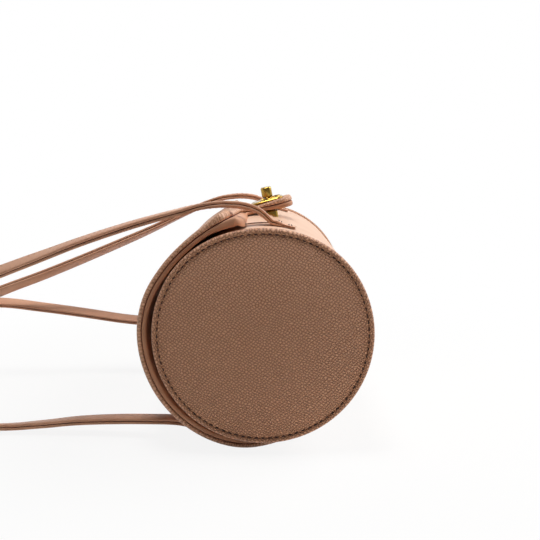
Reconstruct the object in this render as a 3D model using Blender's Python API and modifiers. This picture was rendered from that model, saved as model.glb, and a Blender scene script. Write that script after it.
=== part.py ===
# A small barrel shaped leather handbag, lying on its back as it is photographed: the side that is carried
# upward points to -X, the front with its turn lock points up, and the near end faces -Y. All lengths are metres.
# Everything is laid out around the barrel's own axis, which runs along Y at REST_SHIFT, BARREL_HEIGHT.

import math

import bmesh
import bpy
from mathutils import Matrix, Vector

# Clearances and overruns shared by the whole bag
GAP = 0.0003
CUT_OVERRUN = 0.004
MERGE = 0.00001

# Barrel
BARREL_LENGTH = 0.1860
BARREL_RADIUS = 0.0586
WRAP_THICKNESS = 0.0020
BOARD_THICKNESS = 0.0007
LINING_THICKNESS = 0.0008
BARREL_SEGMENTS = 90

# Ends. The caps' middle is flat, so that the bag can stand on an end, and their edge falls away by these shares.
RIM_PROUD = 0.0014
RIM_WIDTH = 0.0031
RIM_DEPTH = 0.0046
RIM_ROUNDING = 0.0011
CAP_THICKNESS = 0.0022
CAP_SINK = 0.0006
CAP_CROWN = 0.0014
CAP_FLAT_RADIUS = 0.0300
CAP_EDGE_SHARES = ((0.72, 0.72), (0.9, 0.3))
END_BOARD_THICKNESS = 0.0015

# Mouth
MOUTH_FRONT_DEG = 108
MOUTH_BACK_DEG = 152
MOUTH_END_MARGIN = 0.0420
MOUTH_CORNER = 0.0120
FACING_WIDTH = 0.0100
FACING_THICKNESS = 0.0014

# Slip pocket on the back wall of the lining
POCKET_WIDTH = 0.0900
POCKET_THICKNESS = 0.0009
POCKET_FROM_DEG = 222
POCKET_TO_DEG = 288

# Flap: two leather plies round a thin board. Its outer face stands off the barrel by a share of FLAP_STANDOFF.
FLAP_STANDOFF = 0.0106
FLAP_FAR_STANDOFF = 0.0059
FLAP_OUTER_PLY = 0.0022
FLAP_INNER_PLY = 0.0018
FLAP_BOARD = 0.0008
FLAP_BOARD_HALF = 0.0500
FLAP_END_MARGIN = 0.0080
FLAP_CORNER_INSET = 0.0290
FLAP_ROOT_DEG = 281
FLAP_FOLD_DEG = 150
FLAP_FRONT_DEG = 103
FLAP_CORNER_FROM_DEG = 117
FLAP_FAR_LOW_FROM_DEG = 150
FLAP_STEP_DEG = 5
STANDOFF_SHARES = (
    (FLAP_FRONT_DEG, 0.84), (110, 0.79), (120, 0.72), (130, 0.67), (140, 0.69), (150, 0.76), (160, 0.88),
    (170, 0.96), (180, 1.0), (200, 1.0), (220, 0.98), (240, 0.93), (250, 0.89), (257, 0.85), (264, 0.78),
    (272, 0.68), (FLAP_ROOT_DEG, 0.57),
)
REST_CUT = 0.0004
REST_SHIFT = 0.0068

# Closing tab on the middle of the flap's front edge
TAB_HALF_WIDTH = 0.0130
TAB_PLY = 0.0023
TAB_START = -0.0128
TAB_END = 0.0200
TAB_START_RISE = 0.0008
TAB_CORNER_SHARE = 0.6
TAB_ROWS = 18
TAB_ROW_POWER = 1.6

# Turn lock. Its plates and its knob lean back toward the top of the bag.
LOCK_X = 0.0044
LOCK_LEAN_DEG = 11
LOCK_RISE = 0.0029
EYELET_WIDTH = 0.0205
EYELET_LENGTH = 0.0230
EYELET_THICKNESS = 0.0014
EYELET_SHIFT = -0.0006
EYELET_CORNER_SHARE = 0.45
SLOT_CORNER_SHARE = 0.33
SLOT_LENGTH = 0.0160
SLOT_BACK = 0.0042
SLOT_FRONT = 0.0085
TAB_HOLE_MARGIN = 0.0018
WASHER_THICKNESS = 0.0006
KNOB_LENGTH = 0.0146
KNOB_WIDTH = 0.0068
KNOB_HEIGHT = 0.0078
KNOB_LIFT = 0.0006
KNOB_CORNER_SHARE = 0.42
KNOB_EDGE_SHARE = 0.20
SPINDLE_RADIUS = 0.0021
BASE_WIDTH = 0.0112
BASE_LENGTH = 0.0230
BASE_DEPTH = 0.0060
PLATE_CORNER_SHARE = 0.3
BACK_PLATE_THICKNESS = 0.0010
BACK_PLATE_WIDTH = 0.0120
RIVET_RADIUS = 0.0010
RIVET_HEAD_RADIUS = 0.0019
RIVET_HEAD_HEIGHT = 0.0007
RIVET_OFFSET = 0.0085

# Straps
STRAP_WIDTH = 0.0092
STRAP_PLY = 0.0015
STRAP_GROOVE = 0.0006
STRAP_EDGE = 0.0005
STRAP_INSET = 0.0270
STRAP_HINGE_GAP = 0.0008
SEWN_LENGTH = 0.0112
FRONT_SEWN_DEG = 83.5
FRONT_LEG_END_DEG = 124.5
FRONT_REACH = 0.2850
FRONT_BIGHT_DROP = 0.0285
BACK_SEWN_DEG = 225.5
BACK_REACH = 0.3015
BACK_BIGHT_DROP = 0.0370
STATIONS_PER_SPAN = 2

# The front strap's legs, from the sewn end up over the flap: the share of the way in degrees to the leg's end,
# the lift off the barrel as a share of FLAP_STANDOFF, and the lean of the strap's outer face in degrees.
FRONT_NEAR_LEG_SHARES = (
    (0.0, 0.0, 0), (0.05, 0.03, 0), (0.14, 0.31, 0), (0.23, 0.59, 0), (0.38, 0.885, 0), (0.60, 1.21, 0),
    (0.82, 1.51, 2), (1.0, 1.78, 4),
)
FRONT_FAR_LEG_SHARES = (
    (0.0, 0.0, 0), (0.05, 0.03, 0), (0.14, 0.26, 0), (0.30, 0.48, 0), (0.46, 0.61, 0), (0.61, 0.72, 0),
    (0.78, 0.87, 2), (1.0, 1.06, 4),
)

# The free runs, from the leg's end or the sewn end to the bight: the share of the way there, the share of
# STRAP_HALF_SPAN, how far the strap bows up from the straight way as a share of BARREL_RADIUS, and the lean.
FRONT_NEAR_RUN_SHARES = (
    (0.0, 1.0, 0.0, 4), (0.07, 0.985, 0.036, 6), (0.14, 0.97, 0.064, 10), (0.24, 0.94, 0.088, 15),
    (0.335, 0.91, 0.095, 22), (0.435, 0.895, 0.102, 30), (0.60, 0.85, 0.107, 40), (0.77, 0.76, 0.127, 55),
    (0.895, 0.59, 0.106, 72), (0.975, 0.32, 0.054, 84), (1.0, 0.0, 0.0, 90),
)
FRONT_FAR_RUN_SHARES = (
    (0.0, 1.0, 0.0, 4), (0.075, 1.0, -0.032, 8), (0.165, 0.985, -0.077, 16), (0.255, 0.97, -0.106, 24),
    (0.37, 0.925, -0.135, 30), (0.49, 0.865, -0.154, 35), (0.605, 0.80, -0.157, 40), (0.775, 0.71, -0.176, 55),
    (0.90, 0.56, -0.156, 72), (0.975, 0.30, -0.08, 84), (1.0, 0.0, 0.0, 90),
)
BACK_NEAR_RUN_SHARES = (
    (0.0, 1.0, 0.0, 0), (0.016, 1.0, -0.062, 0), (0.036, 0.995, -0.115, 0), (0.128, 0.94, -0.150, 0),
    (0.225, 0.91, -0.195, 3), (0.315, 0.885, -0.252, 8), (0.415, 0.875, -0.308, 14), (0.575, 0.88, -0.327, 24),
    (0.735, 0.85, -0.281, 40), (0.865, 0.73, -0.207, 60), (0.965, 0.425, -0.111, 80), (1.0, 0.0, 0.0, 90),
)
BACK_FAR_RUN_SHARES = (
    (0.0, 1.0, 0.0, 0), (0.018, 1.0, 0.055, 2), (0.042, 1.0, 0.14, 6), (0.072, 1.0, 0.245, 10),
    (0.104, 1.0, 0.32, 14), (0.121, 1.0, 0.34, 16), (0.21, 0.99, 0.362, 16), (0.325, 0.99, 0.411, 17),
    (0.45, 0.99, 0.456, 18), (0.575, 0.99, 0.485, 22), (0.735, 0.94, 0.437, 40), (0.865, 0.775, 0.304, 60),
    (0.965, 0.425, 0.128, 80), (1.0, 0.0, 0.0, 90),
)

# Where the back strap's legs start beside their hinge line, across and up, as shares of STRAP_THICKNESS
BACK_NEAR_START_SHARES = (-0.30, 0.40)
BACK_FAR_START_SHARES = (0.36, 0.36)

# Places that follow from the sizes above
HALF = BARREL_LENGTH / 2
RIM_RADIUS = BARREL_RADIUS + RIM_PROUD
LOCK_SEAT = BARREL_RADIUS + LOCK_RISE
STRAP_HALF_SPAN = HALF - STRAP_INSET
WRAP_INNER = BARREL_RADIUS - WRAP_THICKNESS
BOARD_OUTER = WRAP_INNER - GAP
LINING_OUTER = BOARD_OUTER - BOARD_THICKNESS - GAP
LINING_INNER = LINING_OUTER - LINING_THICKNESS
FLAP_THICKNESS = FLAP_OUTER_PLY + FLAP_BOARD + FLAP_INNER_PLY + 2 * GAP
FLAP_HALF = HALF - FLAP_END_MARGIN
STRAP_THICKNESS = 2 * STRAP_PLY + STRAP_GROOVE
TAB_THICKNESS = 2 * TAB_PLY + GAP
LOCK_TILT = Matrix.Rotation(math.radians(-LOCK_LEAN_DEG), 4, "Y")


def arc_degrees(length, radius):
    return math.degrees(length / radius)


def on_barrel(radius, degrees, y):
    angle = math.radians(degrees)
    return Vector((radius * math.cos(angle), y, radius * math.sin(angle)))


def smooth_step(share):
    share = min(max(share, 0.0), 1.0)
    return share * share * (3 - 2 * share)


def looked_up(table, where):
    """The value at `where` in a table of (place, value), on a smooth curve through its rows."""
    if where <= table[0][0]:
        return table[0][1]
    for i in range(len(table) - 1):
        (x0, y0), (x1, y1) = table[i], table[i + 1]
        if where <= x1:
            before = table[i - 1] if i else table[i]
            after = table[i + 2] if i + 2 < len(table) else table[i + 1]
            share = (where - x0) / (x1 - x0)
            slope0 = (y1 - before[1]) / (x1 - before[0]) * (x1 - x0)
            slope1 = (after[1] - y0) / (after[0] - x0) * (x1 - x0)
            square = share * share
            cube = square * share
            return (
                (2 * cube - 3 * square + 1) * y0
                + (cube - 2 * square + share) * slope0
                + (3 * square - 2 * cube) * y1
                + (cube - square) * slope1
            )
    return table[-1][1]


def smooth_route(points, spans):
    """Points of a smooth curve through the route's own points, `spans` steps between each two."""
    made = []
    for i in range(len(points) - 1):
        before = points[max(i - 1, 0)]
        start, end = points[i], points[i + 1]
        after = points[min(i + 2, len(points) - 1)]
        for step in range(spans):
            t = step / spans
            made.append(
                tuple(
                    0.5 * (2 * b + (c - a) * t + (2 * a - 5 * b + 4 * c - d) * t * t + (3 * b - a - 3 * c + d) * t ** 3)
                    for a, b, c, d in zip(before, start, end, after)
                )
            )
    made.append(tuple(points[-1]))
    return made


# Scene, collections and materials


def clear_scene():
    for obj in list(bpy.data.objects):
        bpy.data.objects.remove(obj, do_unlink=True)


def new_collection(name):
    collection = bpy.data.collections.new(name)
    bpy.context.scene.collection.children.link(collection)
    return collection


def principled(name, colour, roughness, metallic=0.0):
    material = bpy.data.materials.new(name)
    material.use_nodes = True
    shader = material.node_tree.nodes["Principled BSDF"]
    shader.inputs["Base Color"].default_value = (*colour, 1.0)
    shader.inputs["Roughness"].default_value = roughness
    shader.inputs["Metallic"].default_value = metallic
    return material


clear_scene()
PARTS = new_collection("bowling_bag")
CUTTERS = new_collection("cutters")

PEBBLED_LEATHER = principled("pebbled_leather", (0.52, 0.31, 0.22), 0.62)
SMOOTH_LEATHER = principled("smooth_leather", (0.62, 0.39, 0.29), 0.50)
FLAP_LEATHER = principled("flap_inner_leather", (0.47, 0.27, 0.19), 0.60)
LINING_CLOTH = principled("lining_cloth", (0.50, 0.38, 0.30), 0.85)
BOARD = principled("stiffener_board", (0.38, 0.34, 0.28), 0.90)
GOLD = principled("gold_plated_metal", (0.80, 0.60, 0.22), 0.22, 1.0)
STEEL = principled("plated_steel", (0.60, 0.58, 0.55), 0.35, 1.0)


def new_empty(name, place, parent=None):
    empty = bpy.data.objects.new(name, None)
    empty.empty_display_size = STRAP_WIDTH
    PARTS.objects.link(empty)
    empty.parent = parent
    empty.location = place
    return empty


def finish(obj, material, carrier=None, collection=PARTS):
    """Puts the object in its collection, gives it its material and hangs it on the empty that carries it."""
    for old in list(obj.users_collection):
        old.objects.unlink(obj)
    collection.objects.link(obj)
    if material:
        obj.data.materials.clear()
        obj.data.materials.append(material)
    parent = carrier or BARREL_AXIS
    obj.parent = parent
    obj.location = obj.location - (carrier.location if carrier else Vector())
    if collection is CUTTERS:
        obj.hide_render = True
        obj.display_type = "WIRE"
    return obj


def mesh_object(name, bm):
    bmesh.ops.recalc_face_normals(bm, faces=bm.faces)
    mesh = bpy.data.meshes.new(name)
    bm.to_mesh(mesh)
    bm.free()
    obj = bpy.data.objects.new(name, mesh)
    bpy.context.scene.collection.objects.link(obj)
    return obj


def shade(obj, degrees=35):
    obj.data.shade_smooth()
    obj.data.set_sharp_from_angle(angle=math.radians(degrees))
    return obj


def cut(obj, cutter):
    modifier = obj.modifiers.new(f"cut_{cutter.name}", "BOOLEAN")
    modifier.operation = "DIFFERENCE"
    modifier.solver = "EXACT"
    modifier.object = cutter
    return obj


def sheet(name, rows, thickness, outside):
    """A sheet of even thickness. `rows` holds its inner face as rows of points, and `outside` says which way is out."""
    bm = bmesh.new()
    across = len(rows[0])
    bmesh.ops.create_grid(bm, x_segments=across - 1, y_segments=len(rows) - 1, size=BARREL_RADIUS)
    bm.verts.ensure_lookup_table()
    for index, vert in enumerate(bm.verts):
        vert.co = rows[index // across][index % across]
    face = next(iter(bm.faces))
    face.normal_update()
    if face.normal.dot(outside(face.calc_center_median())) < 0:
        bmesh.ops.reverse_faces(bm, faces=bm.faces)
    mesh = bpy.data.meshes.new(name)
    bm.to_mesh(mesh)
    bm.free()
    obj = bpy.data.objects.new(name, mesh)
    bpy.context.scene.collection.objects.link(obj)
    solidify = obj.modifiers.new("thickness", "SOLIDIFY")
    solidify.thickness = thickness
    solidify.offset = 1.0
    solidify.use_even_offset = True
    return obj


def from_axis(point):
    return Vector((point.x, 0.0, point.z))


def upward(_point):
    return Vector((0.0, 0.0, 1.0))


def shared_out(first, last, count):
    return [first + (last - first) * i / (count - 1) for i in range(count)]


def barrel_patch(name, inner_radius, thickness, from_deg, to_deg, half_width, middle=0.0, corner=0.0, rows=12, across=2):
    """A sheet on a circle round the barrel's axis, whose corners may be rounded."""
    made = []
    for degrees in shared_out(from_deg, to_deg, rows):
        run = min(degrees - from_deg, to_deg - degrees)
        depth = math.radians(run) * inner_radius
        half = half_width
        if depth < corner:
            half = half_width - corner + math.sqrt(max(corner ** 2 - (corner - depth) ** 2, 0.0))
        made.append([on_barrel(inner_radius, degrees, middle + y) for y in shared_out(-half, half, across)])
    return sheet(name, made, thickness, from_axis)


# Barrel: the leather wrap, the board that keeps it round, and the lining, all open at the mouth


def tube_shell(name, outer_radius, thickness, length):
    bm = bmesh.new()
    bmesh.ops.create_cone(
        bm, cap_ends=False, segments=BARREL_SEGMENTS, radius1=outer_radius, radius2=outer_radius, depth=length,
        matrix=Matrix.Rotation(math.radians(90), 4, "X"),
    )
    obj = mesh_object(name, bm)
    solidify = obj.modifiers.new("thickness", "SOLIDIFY")
    solidify.thickness = thickness
    solidify.offset = -1.0
    return obj


def mouth_cutter():
    obj = barrel_patch(
        "mouth_cutter", LINING_INNER - CUT_OVERRUN, BARREL_RADIUS - LINING_INNER + 2 * CUT_OVERRUN,
        MOUTH_FRONT_DEG, MOUTH_BACK_DEG, HALF - MOUTH_END_MARGIN, corner=MOUTH_CORNER, rows=24,
    )
    return finish(obj, None, collection=CUTTERS)


def rivet_cutter(y):
    bm = bmesh.new()
    bmesh.ops.create_cone(
        bm, cap_ends=True, segments=24, radius1=RIVET_RADIUS + GAP, radius2=RIVET_RADIUS + GAP,
        depth=2 * (BARREL_RADIUS - LINING_INNER + CUT_OVERRUN),
        matrix=FOOT_FRAME @ Matrix.Translation((0.0, y, LINING_INNER)),
    )
    return finish(mesh_object("rivet_cutter", bm), None, collection=CUTTERS)


def build_barrel():
    inner_length = BARREL_LENGTH - 2 * (RIM_DEPTH + GAP)
    lined_length = BARREL_LENGTH - 2 * (CAP_SINK + CAP_THICKNESS + END_BOARD_THICKNESS + LINING_THICKNESS + 4 * GAP)
    mouth = mouth_cutter()
    rivets = [rivet_cutter(side * RIVET_OFFSET) for side in (-1, 1)]
    for name, radius, thickness, length, material in (
        ("body_wrap", BARREL_RADIUS, WRAP_THICKNESS, inner_length, SMOOTH_LEATHER),
        ("body_board", BOARD_OUTER, BOARD_THICKNESS, inner_length, BOARD),
        ("lining_wrap", LINING_OUTER, LINING_THICKNESS, lined_length, LINING_CLOTH),
    ):
        shell = finish(shade(tube_shell(name, radius, thickness, length)), material)
        for cutter in (mouth, *rivets):
            cut(shell, cutter)


# Ends: a turned rim, the pebbled cap, its board and its lining


def turned(name, profile, side, place):
    """A turned piece on the barrel's axis. The profile is (radius, outward) from its inner to its outer face."""
    bm = bmesh.new()
    verts = [bm.verts.new((radius, 0.0, outward)) for radius, outward in profile]
    for first, second in zip(verts, verts[1:]):
        bm.edges.new((first, second))
    if profile[0][0] > 0:
        bm.edges.new((verts[-1], verts[0]))
    mesh = bpy.data.meshes.new(name)
    bm.to_mesh(mesh)
    bm.free()
    obj = bpy.data.objects.new(name, mesh)
    bpy.context.scene.collection.objects.link(obj)
    screw = obj.modifiers.new("turn", "SCREW")
    screw.steps = BARREL_SEGMENTS
    screw.render_steps = BARREL_SEGMENTS
    screw.use_merge_vertices = True
    screw.merge_threshold = MERGE
    obj.rotation_euler = (math.radians(-90 * side), 0.0, 0.0)
    obj.location = (0.0, side * place, 0.0)
    return obj


def build_end(end, side):
    rounding = RIM_ROUNDING
    inside = RIM_RADIUS - RIM_WIDTH
    rim = turned(
        f"{end}_end_rim",
        [
            (inside, 0.0), (RIM_RADIUS - rounding, 0.0), (RIM_RADIUS, -rounding), (RIM_RADIUS, rounding - RIM_DEPTH),
            (RIM_RADIUS - rounding, -RIM_DEPTH), (inside, -RIM_DEPTH),
        ],
        side, HALF,
    )
    finish(rim, PEBBLED_LEATHER)
    cap_radius = inside - GAP
    cap = turned(
        f"{end}_end_cap",
        [
            (0.0, CAP_CROWN), (CAP_FLAT_RADIUS, CAP_CROWN),
            *((cap_radius * out, CAP_CROWN * up) for out, up in CAP_EDGE_SHARES),
            (cap_radius, 0.0), (cap_radius, -CAP_THICKNESS), (0.0, -CAP_THICKNESS),
        ],
        side, HALF - CAP_SINK,
    )
    finish(cap, PEBBLED_LEATHER)
    board_face = HALF - CAP_SINK - CAP_THICKNESS - GAP
    board = turned(
        f"{end}_end_board",
        [(0.0, 0.0), (LINING_INNER - GAP, 0.0), (LINING_INNER - GAP, -END_BOARD_THICKNESS), (0.0, -END_BOARD_THICKNESS)],
        side, board_face,
    )
    finish(board, BOARD)
    lining = turned(
        f"{end}_end_lining",
        [(0.0, 0.0), (LINING_INNER - GAP, 0.0), (LINING_INNER - GAP, -LINING_THICKNESS), (0.0, -LINING_THICKNESS)],
        side, board_face - END_BOARD_THICKNESS - GAP,
    )
    finish(lining, LINING_CLOTH)


# Inside: the leather facings along the mouth and the slip pocket


def build_inside():
    reach = arc_degrees(FACING_WIDTH, LINING_INNER)
    clear = arc_degrees(GAP, LINING_INNER)
    inner = LINING_INNER - GAP - FACING_THICKNESS
    half = HALF - MOUTH_END_MARGIN
    for name, from_deg, to_deg in (
        ("mouth_facing_front", MOUTH_FRONT_DEG - reach, MOUTH_FRONT_DEG - clear),
        ("mouth_facing_back", MOUTH_BACK_DEG + clear, MOUTH_BACK_DEG + reach),
    ):
        facing = barrel_patch(name, inner, FACING_THICKNESS, from_deg, to_deg, half, rows=5)
        finish(shade(facing), SMOOTH_LEATHER)
    pocket = barrel_patch(
        "slip_pocket", LINING_INNER - GAP - POCKET_THICKNESS, POCKET_THICKNESS, POCKET_FROM_DEG, POCKET_TO_DEG,
        POCKET_WIDTH / 2, rows=16,
    )
    finish(shade(pocket), LINING_CLOTH)


# Flap: a fixed back run sewn to the barrel at its root, and the front run that opens at the fold


def flap_half_width(degrees):
    """Half the flap's width, drawn in at its front corners."""
    if degrees >= FLAP_CORNER_FROM_DEG:
        return FLAP_HALF
    share = (FLAP_CORNER_FROM_DEG - degrees) / (FLAP_CORNER_FROM_DEG - FLAP_FRONT_DEG)
    return FLAP_HALF - FLAP_CORNER_INSET * (1 - math.sqrt(max(1 - share * share, 0.0)))


def flap_outer_radius(degrees, y):
    """The flap's outer face. Toward the far end its front lies closer to the barrel."""
    near = BARREL_RADIUS + FLAP_STANDOFF * looked_up(STANDOFF_SHARES, degrees)
    far = min(near, BARREL_RADIUS + FLAP_FAR_STANDOFF)
    drop = smooth_step((FLAP_FAR_LOW_FROM_DEG - degrees) / (FLAP_FAR_LOW_FROM_DEG - FLAP_CORNER_FROM_DEG))
    across = smooth_step((y + FLAP_HALF) / (2 * FLAP_HALF))
    return near + (far - near) * drop * across


def flap_layer(name, depth, thickness, from_deg, to_deg, widest=FLAP_HALF, across=5):
    """One layer of the flap, whose outer face lies `depth` under the flap's outer face."""
    count = max(3, round((to_deg - from_deg) / FLAP_STEP_DEG) + 1)
    rows = []
    for degrees in shared_out(from_deg, to_deg, count):
        half = min(flap_half_width(degrees), widest)
        rows.append(
            [
                on_barrel(flap_outer_radius(degrees, y) - depth - thickness, degrees, y)
                for y in shared_out(-half, half, across)
            ]
        )
    return shade(sheet(name, rows, thickness, from_axis))


def build_flap():
    board_depth = FLAP_OUTER_PLY + GAP
    inner_depth = board_depth + FLAP_BOARD + GAP
    half_clear = arc_degrees(GAP, BARREL_RADIUS) / 2
    fold = FLAP_FOLD_DEG + half_clear
    outer = finish(flap_layer("flap_back_outer", 0.0, FLAP_OUTER_PLY, fold, FLAP_ROOT_DEG), PEBBLED_LEATHER)
    finish(flap_layer("flap_back_board", board_depth, FLAP_BOARD, fold, FLAP_ROOT_DEG, FLAP_BOARD_HALF), BOARD)
    finish(flap_layer("flap_back_inner", inner_depth, FLAP_INNER_PLY, fold, FLAP_ROOT_DEG), FLAP_LEATHER)

    bm = bmesh.new()
    bmesh.ops.create_cube(bm, size=1.0, matrix=Matrix.Diagonal((*[2 * BARREL_LENGTH] * 2, 2 * CUT_OVERRUN, 1.0)))
    floor = mesh_object("floor_cutter", bm)
    floor.location = (0.0, 0.0, -BARREL_HEIGHT - CUT_OVERRUN)
    cut(outer, finish(floor, None, collection=CUTTERS))

    fold = FLAP_FOLD_DEG - half_clear
    for name, depth, thickness, widest, material in (
        ("flap_front_outer", 0.0, FLAP_OUTER_PLY, FLAP_HALF, PEBBLED_LEATHER),
        ("flap_front_board", board_depth, FLAP_BOARD, FLAP_BOARD_HALF, BOARD),
        ("flap_front_inner", inner_depth, FLAP_INNER_PLY, FLAP_HALF, FLAP_LEATHER),
    ):
        finish(flap_layer(name, depth, thickness, FLAP_FRONT_DEG, fold, widest), material, FLAP_FOLD)


# Closing tab, a two ply leather tongue that carries the eyelet


def tab_floor(x):
    """Height of the tab's lower face: it leaves the flap's edge level, then rises with the lock's lean."""
    sloped = LOCK_SEAT + (x - LOCK_X) * math.tan(math.radians(LOCK_LEAN_DEG))
    share = smooth_step((LOCK_X - EYELET_WIDTH / 2 - x) / (LOCK_X - EYELET_WIDTH / 2 - TAB_START))
    level = LOCK_SEAT + (TAB_START - LOCK_X) * math.tan(math.radians(LOCK_LEAN_DEG)) + 2 * TAB_START_RISE
    return sloped + (level - sloped) * share


def tab_half(x):
    """Half the tab's width, with a rounded free end."""
    depth = TAB_END - x
    corner = TAB_HALF_WIDTH * TAB_CORNER_SHARE
    if depth >= corner:
        return TAB_HALF_WIDTH
    return TAB_HALF_WIDTH - corner + math.sqrt(max(corner ** 2 - (corner - depth) ** 2, 0.0))


def slot_outline(back, front, half_length, height):
    """A closed upright prism over the lock's slot, in the lock's own frame."""
    bm = bmesh.new()
    middle = (front - back) / 2
    bmesh.ops.create_cube(
        bm, size=1.0,
        matrix=Matrix.Translation((middle, 0.0, 0.0)) @ Matrix.Diagonal((front + back, 2 * half_length, height, 1.0)),
    )
    upright = [edge for edge in bm.edges if abs(edge.verts[0].co.z - edge.verts[1].co.z) > height / 2]
    bmesh.ops.bevel(
        bm, geom=upright, offset=(front + back) * SLOT_CORNER_SHARE, offset_type="OFFSET", segments=5, profile=0.5, affect="EDGES",
    )
    return bm


def build_tab():
    for name, lift, material in (
        ("closing_tab_inner", 0.0, FLAP_LEATHER),
        ("closing_tab_outer", TAB_PLY + GAP, PEBBLED_LEATHER),
    ):
        rows = []
        for share in shared_out(0.0, 1.0, TAB_ROWS):
            x = TAB_END - (TAB_END - TAB_START) * (1 - share) ** TAB_ROW_POWER
            half = tab_half(x)
            rows.append([Vector((x, y, tab_floor(x) + lift)) for y in shared_out(-half, half, 5)])
        ply = finish(shade(sheet(name, rows, TAB_PLY, upward)), material, FLAP_FOLD)
        cut(ply, TAB_HOLE)


# Turn lock


def lock_piece(name, bm, height, material, carrier=None, shift=0.0, frame=None):
    """Sets a piece at its height over the lock's seat, or at its height in another frame."""
    obj = mesh_object(name, bm)
    obj.data.transform((frame or LOCK_FRAME) @ Matrix.Translation((shift, 0.0, height)))
    return finish(shade(obj, 30), material, carrier)


def plate_mesh(width, length, thickness, rounding):
    bm = bmesh.new()
    bmesh.ops.create_cube(
        bm, size=1.0,
        matrix=Matrix.Translation((0.0, 0.0, thickness / 2)) @ Matrix.Diagonal((width, length, thickness, 1.0)),
    )
    upright = [edge for edge in bm.edges if abs(edge.verts[0].co.z - edge.verts[1].co.z) > thickness / 2]
    bmesh.ops.bevel(bm, geom=upright, offset=rounding, offset_type="OFFSET", segments=6, profile=0.5, affect="EDGES")
    return bm


def slot_cutter(name, margin, height_from, height_to):
    bm = slot_outline(SLOT_BACK + margin, SLOT_FRONT + margin, SLOT_LENGTH / 2 + margin, height_to - height_from)
    obj = mesh_object(name, bm)
    obj.data.transform(LOCK_FRAME @ Matrix.Translation((0.0, 0.0, (height_from + height_to) / 2)))
    return finish(obj, None, collection=CUTTERS)


def build_eyelet():
    top = TAB_THICKNESS + GAP
    corner = EYELET_WIDTH * EYELET_CORNER_SHARE
    plate = lock_piece(
        "eyelet_plate", plate_mesh(EYELET_WIDTH, EYELET_LENGTH, EYELET_THICKNESS, corner), top, GOLD, FLAP_FOLD,
        EYELET_SHIFT + (SLOT_FRONT - SLOT_BACK) / 2,
    )
    cut(plate, SLOT_HOLE)
    washer = lock_piece(
        "eyelet_washer", plate_mesh(EYELET_WIDTH, EYELET_LENGTH, WASHER_THICKNESS, corner), -GAP - WASHER_THICKNESS,
        GOLD, FLAP_FOLD, EYELET_SHIFT + (SLOT_FRONT - SLOT_BACK) / 2,
    )
    cut(washer, TAB_HOLE)


def build_lock():
    base_top = -2 * GAP - WASHER_THICKNESS
    bm = plate_mesh(BASE_WIDTH, BASE_LENGTH, BASE_DEPTH, BASE_WIDTH * PLATE_CORNER_SHARE)
    base = lock_piece("lock_base", bm, base_top - BASE_DEPTH, GOLD)
    bm = bmesh.new()
    bmesh.ops.create_cone(
        bm, cap_ends=True, segments=2 * BARREL_SEGMENTS, radius1=BARREL_RADIUS + GAP, radius2=BARREL_RADIUS + GAP,
        depth=BARREL_LENGTH, matrix=Matrix.Rotation(math.radians(90), 4, "X"),
    )
    cut(base, finish(mesh_object("barrel_cutter", bm), None, collection=CUTTERS))
    bm = bmesh.new()
    bmesh.ops.create_cone(
        bm, cap_ends=True, segments=32, radius1=SPINDLE_RADIUS + GAP, radius2=SPINDLE_RADIUS + GAP,
        depth=4 * BASE_DEPTH,
    )
    bore = mesh_object("spindle_cutter", bm)
    bore.data.transform(LOCK_FRAME)
    cut(base, finish(bore, None, collection=CUTTERS))

    plate_floor = math.sqrt(LINING_INNER ** 2 - (BACK_PLATE_WIDTH / 2) ** 2) - GAP - BACK_PLATE_THICKNESS
    bm = plate_mesh(BACK_PLATE_WIDTH, BASE_LENGTH, BACK_PLATE_THICKNESS, BACK_PLATE_WIDTH * PLATE_CORNER_SHARE)
    back_plate = lock_piece("lock_back_plate", bm, plate_floor, STEEL, frame=FOOT_FRAME)
    for name, side in (("near", -1), ("far", 1)):
        build_rivet(f"lock_rivet_{name}", side * RIVET_OFFSET, plate_floor - GAP)
        cut(back_plate, rivet_cutter(side * RIVET_OFFSET))


def build_rivet(name, y, head_top):
    """A rivet whose head lies under the back plate and whose stem ends level with the barrel's outer face."""
    bm = bmesh.new()
    bmesh.ops.create_cone(
        bm, cap_ends=True, segments=20, radius1=RIVET_HEAD_RADIUS, radius2=RIVET_HEAD_RADIUS,
        depth=RIVET_HEAD_HEIGHT, matrix=Matrix.Translation((0.0, y, head_top - RIVET_HEAD_HEIGHT / 2)),
    )
    top = max(bm.faces, key=lambda face: face.calc_center_median().z)
    bmesh.ops.inset_region(bm, faces=[top], thickness=RIVET_HEAD_RADIUS - RIVET_RADIUS)
    grown = bmesh.ops.extrude_discrete_faces(bm, faces=[top])
    moved = grown["faces"][0].verts
    bmesh.ops.translate(bm, verts=moved, vec=(0.0, 0.0, BARREL_RADIUS - head_top))
    lock_piece(name, bm, 0.0, STEEL, frame=FOOT_FRAME)


def build_knob():
    floor = TAB_THICKNESS + EYELET_THICKNESS + GAP + KNOB_LIFT
    bm = plate_mesh(KNOB_WIDTH, KNOB_LENGTH, KNOB_HEIGHT, KNOB_WIDTH * KNOB_CORNER_SHARE)
    edges = [edge for edge in bm.edges if all(abs(vert.co.z - KNOB_HEIGHT) < MERGE for vert in edge.verts)]
    bmesh.ops.bevel(
        bm, geom=edges, offset=KNOB_WIDTH * KNOB_EDGE_SHARE, offset_type="OFFSET", segments=3, profile=0.5, affect="EDGES",
    )
    lock_piece("lock_knob", bm, floor, GOLD, KNOB_TURN)
    bm = bmesh.new()
    foot = BARREL_RADIUS - LOCK_SEAT + 2 * GAP
    depth = floor - GAP - foot
    bmesh.ops.create_cone(
        bm, cap_ends=True, segments=24, radius1=SPINDLE_RADIUS, radius2=SPINDLE_RADIUS, depth=depth,
        matrix=Matrix.Translation((0.0, 0.0, foot + depth / 2)),
    )
    lock_piece("lock_spindle", bm, 0.0, GOLD, KNOB_TURN)


# Straps


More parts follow.
